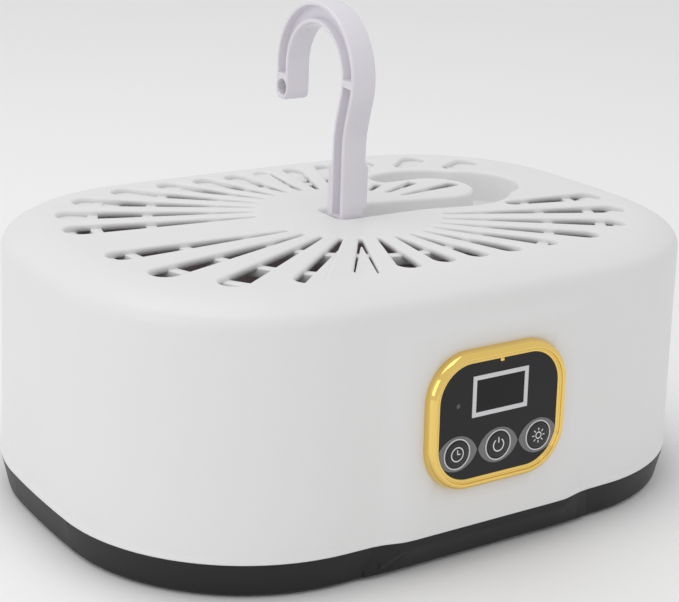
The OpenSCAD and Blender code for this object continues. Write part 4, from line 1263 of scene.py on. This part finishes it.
def finish(name, colour, roughness=0.45, metallic=0.0, fineness=2500.0, depth=0.01, mottle=0.05, **sockets):
    """A moulded or plated finish with fine grain. Further sockets are set by name, spaces as underscores."""
    material = bpy.data.materials.new(name)
    material.use_nodes = True
    tree = material.node_tree
    shader = tree.nodes["Principled BSDF"]
    place = tree.nodes.new("ShaderNodeTexCoord").outputs["Object"]
    grain = link_node(tree, "ShaderNodeGroup", [("Vector", place), ("Fineness", fineness),
                      ("Mottle", mottle)], node_tree=grain_group())
    shaded = mixed(tree, grain.outputs["Shade"], (0, 0, 0, 1), (*colour[:3], 1))
    tree.links.new(shaded, shader.inputs["Base Color"])
    rough = link_node(tree, "ShaderNodeMath", [(0, grain.outputs["Gloss"]), (1, roughness)], operation="ADD")
    tree.links.new(rough.outputs[0], shader.inputs["Roughness"])
    bump = link_node(tree, "ShaderNodeBump", [("Height", grain.outputs["Height"]), ("Strength", 0.35),
                     ("Distance", depth * MM)])
    tree.links.new(bump.outputs[0], shader.inputs["Normal"])
    shader.inputs["Metallic"].default_value = metallic
    for label, value in sockets.items():
        shader.inputs[label.replace("_", " ")].default_value = value
    return material


def board_finish(name, colour):
    """Solder mask with copper tracks and pads showing through."""
    material = finish(name, colour, 0.35, fineness=900.0, depth=0.02, mottle=0.15)
    tree = material.node_tree
    shader = tree.nodes["Principled BSDF"]
    place = next(n for n in tree.nodes if n.type == "TEX_COORD").outputs["Object"]
    mask = shader.inputs["Base Color"].links[0].from_socket
    cells = link_node(tree, "ShaderNodeTexBrick", [("Vector", place), ("Scale", 60.0),
                      ("Mortar Size", 0.035), ("Color1", (0, 0, 0, 1)), ("Color2", (0.25, 0.25, 0.25, 1)),
                      ("Mortar", (1, 1, 1, 1))])
    dots = link_node(tree, "ShaderNodeTexVoronoi", [("Vector", place), ("Scale", 260.0)])
    pads = link_node(tree, "ShaderNodeMath", [(0, dots.outputs["Distance"]), (1, 0.16)],
                     operation="LESS_THAN")
    copper, tin = (colour[0] * 2.2 + 0.02, colour[1] * 1.7, colour[2] * 1.5, 1), (0.6, 0.55, 0.42, 1)
    tracks = mixed(tree, cells.outputs["Color"], mask, copper)
    tree.links.new(mixed(tree, pads, tracks, tin), shader.inputs["Base Color"])
    return material


FINISHES = {}


def outer_finishes():
    """The finishes of what shows from outside, made once."""
    if FINISHES:
        return FINISHES
    tones = bpy.context.scene.dryer_finishes
    FINISHES.update(
        shell=finish("white_shell", tones.shell, 0.42, fineness=1800, depth=0.006, mottle=0.02,
                     Coat_Weight=0.08, Coat_Roughness=0.3),
        # The shell's inner side glows faintly. This is a painted glow that stands in for light coming through
        # the thin white walls.
        inside=finish("shell_inside_painted_glow", tones.inside, 0.6, mottle=0.12, Emission_Color=(0.5, 0.37, 0.39, 1),
                      Emission_Strength=0.3),
        hook=finish("hook_gloss", tones.hook, 0.2, fineness=900, depth=0.004, mottle=0.03,
                    Coat_Weight=0.35, Coat_Roughness=0.08, Subsurface_Weight=0.06, Subsurface_Scale=0.002),
        tray=finish("black_tray", tones.tray, 0.42, fineness=3200, depth=0.02, mottle=0.2,
                    Specular_IOR_Level=0.35),
        gold=finish("polished_gold", tones.gold, 0.09, 1.0, fineness=300, depth=0.001, mottle=0.04),
        panel=finish("panel_black", tones.panel, 0.3, fineness=2600, depth=0.004, mottle=0.25,
                     Specular_IOR_Level=0.3, Coat_Weight=0.08, Coat_Roughness=0.12),
        key=finish("key_gloss", tones.panel, 0.14, depth=0.001, mottle=0.1, Specular_IOR_Level=0.35,
                   Coat_Weight=0.3, Coat_Roughness=0.05),
        almond=finish("almond_grey", tones.almond, 0.4, fineness=3500, depth=0.004, mottle=0.18),
        mark=finish("key_mark", tones.mark, 0.5, mottle=0.06),
        bright=finish("bright_ring", (0.62, 0.62, 0.64), 0.22, 0.9, depth=0.002, mottle=0.06),
        silver=finish("silver_print", (0.72, 0.72, 0.74), 0.45, 0.1, fineness=3500, depth=0.003, mottle=0.08),
        window=finish("display_window", (0.008, 0.007, 0.007), 0.14, depth=0.001, mottle=0.2,
                      Specular_IOR_Level=0.25, Coat_Weight=0.06, Coat_Roughness=0.04),
        steel=finish("zinc_steel", (0.62, 0.62, 0.64), 0.32, 1.0, fineness=1200, depth=0.006, mottle=0.15),
    )
    return FINISHES


def inner_finishes():
    """Finishes of the carried-over nodes, by the nodes that wear them."""
    f = outer_finishes()
    board = board_finish("solder_mask", (0.03, 0.2, 0.1))
    dark = finish("dark_plastic", (0.04, 0.04, 0.045), 0.42, fineness=2200, depth=0.015, mottle=0.2)
    wires = {name: finish(name, colour, 0.4, fineness=1500, depth=0.006, mottle=0.15)
             for name, colour in (("lead_red", (0.45, 0.04, 0.03)), ("lead_yellow", (0.6, 0.52, 0.08)))}
    return {
        f["panel"]: ["panel_faceplate"],
        f["silver"]: ["display_frame"],
        f["window"]: ["display_window"],
        f["steel"]: ["hook_pivot_pin", "gland_nut"],
        f["tray"]: ["base_tray", "outlet_grille", "cord_gland"],
        finish("rubber", (0.03, 0.03, 0.03), 0.75, fineness=1600, depth=0.05, mottle=0.25): ["rubber_feet"],
        board: ["control_board", "main_board", "uv_lamp_board"],
        dark: ["display_module", "tact_switches", "fan_impeller"],
        finish("led_lens", (0.10, 0.10, 0.105), 0.2, depth=0.002): ["status_led"],
        # The fan duct glows faintly. This is a painted glow that stands in for light coming through the
        # shell's thin walls.
        finish("duct_grey_painted_glow", (0.42, 0.36, 0.36), 0.5, fineness=1500, depth=0.02, mottle=0.15,
               Emission_Color=(0.4, 0.27, 0.29, 1), Emission_Strength=0.25): ["fan_duct"],
        finish("motor_can", (0.6, 0.6, 0.62), 0.35, 1.0, fineness=1400, depth=0.01, mottle=0.2):
            ["fan_motor"],
        finish("mica_frame", (0.62, 0.57, 0.44), 0.7, fineness=500, depth=0.06, mottle=0.35):
            ["heater_frame"],
        finish("fin_aluminium", (0.78, 0.78, 0.8), 0.3, 1.0, fineness=900, depth=0.01, mottle=0.2):
            ["heater_fins"],
        finish("heater_core", (0.32, 0.31, 0.3), 0.5, 0.7, fineness=700, depth=0.03, mottle=0.4):
            ["heater_elements"],
        finish("cutout_ceramic", (0.8, 0.76, 0.64), 0.5, fineness=900, depth=0.02, mottle=0.15):
            ["thermal_cutout"],
        finish("violet_lens", (0.45, 0.38, 0.66), 0.08, depth=0.0, mottle=0.02, Transmission_Weight=0.6,
               IOR=1.49): ["uv_lamps"],
        finish("relay_blue", (0.05, 0.12, 0.36), 0.4, depth=0.01): ["power_relay"],
        finish("winding_tape", (0.72, 0.58, 0.1), 0.45, fineness=500, depth=0.03, mottle=0.25):
            ["mains_transformer"],
        finish("capacitor_sleeve", (0.05, 0.05, 0.12), 0.25, depth=0.004): ["board_capacitors"],
        finish("terminal_green", (0.06, 0.3, 0.14), 0.45, depth=0.01): ["terminal_block"],
        wires["lead_red"]: ["panel_lead", "motor_lead"],
        wires["lead_yellow"]: ["heater_lead"],
    }


def wear(node, material):
    """Puts a material on every slot of a carried-over node."""
    for slot in NODES[node].material_slots:
        slot.material = material


# ---- operators ----

class DRYER_OT_finishes(bpy.types.Operator):
    """Gives every carried-over node its finish"""
    bl_idname = "dryer.finishes"
    bl_label = "Finish Inner Pieces"

    def execute(self, context):
        for material, nodes in inner_finishes().items():
            for node in nodes:
                wear(node, material)
        return {"FINISHED"}


class DRYER_OT_shell(bpy.types.Operator):
    """Makes the vented shell with its recess, its shelf and the bars under its slots"""
    bl_idname = "dryer.shell"
    bl_label = "Make Shell"

    def execute(self, context):
        scene = context.scene
        body, vents, hook = scene.dryer_body, scene.dryer_vents, scene.dryer_hook
        looks = outer_finishes()
        plan = Plan(body)
        recess = Recess(hook, pivot_place())
        skin = Skin()
        top_ring, under_ring = shell_walls(skin, plan, body)
        vented_top(skin, plan, body, vents, hook, recess, top_ring, under_ring)
        for extra in (shelf(plan, body, vents), slot_blanks(plan, vents)) + pivot_lugs(hook, recess):
            skin.add(extra)
        skin.piece("top_shell_moulded", "housing", [looks["shell"], looks["inside"]], ["top_shell"],
                   "white_plastic")
        pad = tray_pad(plan, body).piece("tray_pad", "housing", [looks["tray"]], (), "black_plastic")
        pad.data.set_sharp_from_angle(angle=math.radians(40))
        paths = ring_paths(plan, body, vents, recess, hook)
        bars = grown(bar_tree(looks["shell"]), paths, {"Width": vents.bar_width, "Height": vents.bar_height})
        dress("vent_ring_bars", bars, "housing", [looks["shell"]], ())
        return {"FINISHED"}


def pivot_lugs(hook, recess):
    """The far lug and the near boss that hold the hook's pin."""
    pivot = pivot_place()
    floor = TOP - hook.recess_depth
    # Play beside the hook's foot, the foot's swell, how far the lug is let into the recess's wall and
    # floor, and how far it stands past the hook and below the top.
    play, swell, sunk, past, below = 0.3 * MM, 2.4 * MM, 0.9 * MM, 3.1 * MM, 2.4 * MM
    foot_back = pivot.y + hook.depth / 2 + swell + play
    lug = box_skin((recess.left - sunk, foot_back, floor - sunk),
                   (recess.left + hook.width + past, recess.far + sunk, TOP - below), 0.8 * MM)
    outer, inner, chamfer = 4 * MM, 2.02 * MM, 0.3 * MM
    start = recess.near - 0.6 * MM
    length = pivot.y - hook.depth / 2 - play - start
    ring = lathe([(inner, 0), (inner, length), (outer - chamfer, length), (outer, length - chamfer),
                  (outer, 0)], 32)
    boss = Skin()
    boss.add(ring, Matrix.Translation((pivot.x, start, pivot.z)) @ Matrix.Rotation(-math.pi / 2, 4, "X"))
    return lug, boss


class DRYER_OT_hook(bpy.types.Operator):
    """Makes the hanging hook"""
    bl_idname = "dryer.hook"
    bl_label = "Make Hook"

    def execute(self, context):
        make_hook(context.scene.dryer_hook, outer_finishes()["hook"])
        return {"FINISHED"}


class DRYER_OT_panel(bpy.types.Operator):
    """Makes the bezel, the almonds, the key rings and the three keys"""
    bl_idname = "dryer.panel"
    bl_label = "Make Panel"

    def execute(self, context):
        panel = context.scene.dryer_panel
        looks = outer_finishes()
        place = panel_place(context.scene.dryer_body, panel)
        make_bezel(panel, place, looks["gold"])
        make_almonds(panel, place, looks["almond"])
        signs = {"timer_key": timer_mark, "power_key": power_mark, "sterilise_key": sterilise_mark}
        for k, (name, sign) in enumerate(signs.items()):
            make_key(name, (k - 1) * panel.pitch, sign(panel), panel, place, looks)
        centres = Skin()
        room, band, height, foot = 0.42 * MM, 0.68 * MM, 1.95 * MM, 1.6 * MM
        centres.loop([(k * panel.pitch, -panel.keys_below) for k in (-1, 0, 1)], foot + height / 2)
        rings = grown(ring_tree(looks["bright"]), centres,
                      {"Ring Radius": panel.key + room, "Band": band, "Height": height})
        rings.transform(place)
        dress("key_rings_bright", rings, "housing", [looks["bright"]], ["key_rings"])
        return {"FINISHED"}


class DRYER_OT_screws(bpy.types.Operator):
    """Makes the screws of the housing, the fan and both boards"""
    bl_idname = "dryer.screws"
    bl_label = "Make Screws"

    def execute(self, context):
        scene = context.scene
        steel = outer_finishes()["steel"]
        over = Matrix.Rotation(math.pi, 4, "X")

        def corners(x, y, far):
            return [(x, y), (far, y), (far, -y), (x, -y)]

        def lifted(z):
            return Matrix.Translation((0, 0, z * MM))

        panel = panel_place(scene.dryer_body, scene.dryer_panel)
        on_panel = [(18, -16), (-18, -16), (-9.65, 16), (9.65, 16)]
        for row in (
            ("housing_screws", corners(116, 55, -116), (2.8, 1.8, 1.3, 12.2), lifted(5.8) @ over),
            ("fan_screws", corners(37.48, 37.48, -37.48), (2.4, 1.8, 1.05, 6.5), lifted(11)),
            ("board_screws", corners(-118, 26, -66), (2.4, 1.8, 1.05, 7.5), lifted(10.6)),
            ("control_board_screws", on_panel, (2.2, 1, 1, 6), panel @ lifted(-7.6) @ over),
        ):
            make_screws(*row, "housing", steel)
        return {"FINISHED"}


class DRYER_OT_stage(bpy.types.Operator):
    """Sets up the floor, the lights and the camera"""
    bl_idname = "dryer.stage"
    bl_label = "Make Stage"

    def execute(self, context):
        make_floor()
        make_lights(context.scene)
        make_camera(context.scene)
        return {"FINISHED"}


# ---- the stage ----

def make_floor():
    """A plain pale floor."""
    half = 3.0
    mesh = bpy.data.meshes.new("floor")
    corners = [(-half, -half, 0), (half, -half, 0), (half, half, 0), (-half, half, 0)]
    mesh.from_pydata(corners, [], [(0, 1, 2, 3)])
    mesh.materials.append(finish("pale_floor", (0.96, 0.96, 0.96), 0.8, depth=0.0, mottle=0.0))
    floor = put("floor", mesh)


def make_lights(scene):
    """A white room with soft overhead and left lights."""
    world = bpy.data.worlds.new("room")
    scene.world = world
    world.use_nodes = True
    tree = world.node_tree
    ground = tree.nodes["Background"]
    path = tree.nodes.new("ShaderNodeLightPath")
    room_light, backdrop = 0.72, 1.1
    lit = link_node(tree, "ShaderNodeMapRange", [("Value", path.outputs["Is Camera Ray"]),
                    ("To Min", room_light), ("To Max", backdrop)])
    tree.links.new(lit.outputs[0], ground.inputs["Strength"])
    ground.inputs["Color"].default_value = (1, 1, 1, 1)
    soft_light("overhead", (-0.3, 0.25, 1.3), aim=(0, 0, 0.1), size=1.0, power=3.5)
    soft_light("left_side", (-1.3, -0.2, 0.6), aim=(0, 0, 0.08), size=0.8, power=1.8)
    scene.view_settings.view_transform = "Standard"


def soft_light(name, place, aim, size, power):
    """A square area light that faces a point."""
    lamp = bpy.data.lights.new(name, "AREA")
    lamp.size = size
    lamp.energy = power
    thing = put(name, lamp)
    way = Vector(aim) - Vector(place)
    thing.matrix_world = Matrix.Translation(place) @ way.to_track_quat("-Z", "Y").to_matrix().to_4x4()


CAMERA_PLACE = Vector((-0.36404, -0.53365, 0.28211))
CAMERA_AIM = Vector((0, 0, 0.05546))
CAMERA_ROLL = math.radians(2.159)


def make_camera(scene):
    """The camera, with its small roll and shift."""
    view = (CAMERA_AIM - CAMERA_PLACE).normalized()
    right = view.cross(Vector((0, 0, 1))).normalized()
    up = right.cross(view)
    right, up = (right * math.cos(CAMERA_ROLL) + up * math.sin(CAMERA_ROLL),
                 up * math.cos(CAMERA_ROLL) - right * math.sin(CAMERA_ROLL))
    lens = bpy.data.cameras.new("camera")
    lens.lens = 86.09
    lens.sensor_width = 36
    lens.shift_x = -0.0066
    lens.shift_y = 0.0565
    lens.clip_start = 0.01
    thing = put("camera", lens)
    axes = Matrix((right, up, -view)).transposed().to_4x4()
    thing.matrix_world = Matrix.Translation(CAMERA_PLACE) @ axes
    scene.camera = thing


class DRYER_PT_panel(bpy.types.Panel):
    """Lists the dryer's pieces and sizes"""
    bl_idname = "DRYER_PT_panel"
    bl_label = "Clothes Dryer Head"
    bl_space_type = "VIEW_3D"
    bl_region_type = "UI"
    bl_category = "Dryer"

    def draw(self, context):
        for operator in OPERATORS:
            self.layout.operator(operator.bl_idname)
        for name, group in GROUPS.items():
            box = self.layout.box()
            box.label(text=group.__doc__)
            for key in group.__annotations__:
                box.prop(getattr(context.scene, name), key)


GROUPS = {"dryer_body": DryerBodySizes, "dryer_vents": DryerVentSizes, "dryer_hook": DryerHookSizes,
          "dryer_panel": DryerPanelSizes, "dryer_finishes": DryerFinishes}
OPERATORS = [DRYER_OT_finishes, DRYER_OT_shell, DRYER_OT_hook, DRYER_OT_panel, DRYER_OT_screws,
             DRYER_OT_stage]


def register():
    for made in (*GROUPS.values(), *OPERATORS, DRYER_PT_panel):
        bpy.utils.register_class(made)
    for name, group in GROUPS.items():
        setattr(bpy.types.Scene, name, PointerProperty(type=group))


def unregister():
    for name in GROUPS:
        delattr(bpy.types.Scene, name)
    for made in (DRYER_PT_panel, *reversed(OPERATORS), *reversed(GROUPS.values())):
        bpy.utils.unregister_class(made)


def main():
    register()
    for operator in (bpy.ops.dryer.stage, bpy.ops.dryer.finishes, bpy.ops.dryer.shell, bpy.ops.dryer.hook,
                     bpy.ops.dryer.panel, bpy.ops.dryer.screws):
        operator()


if __name__ == "__main__":
    main()
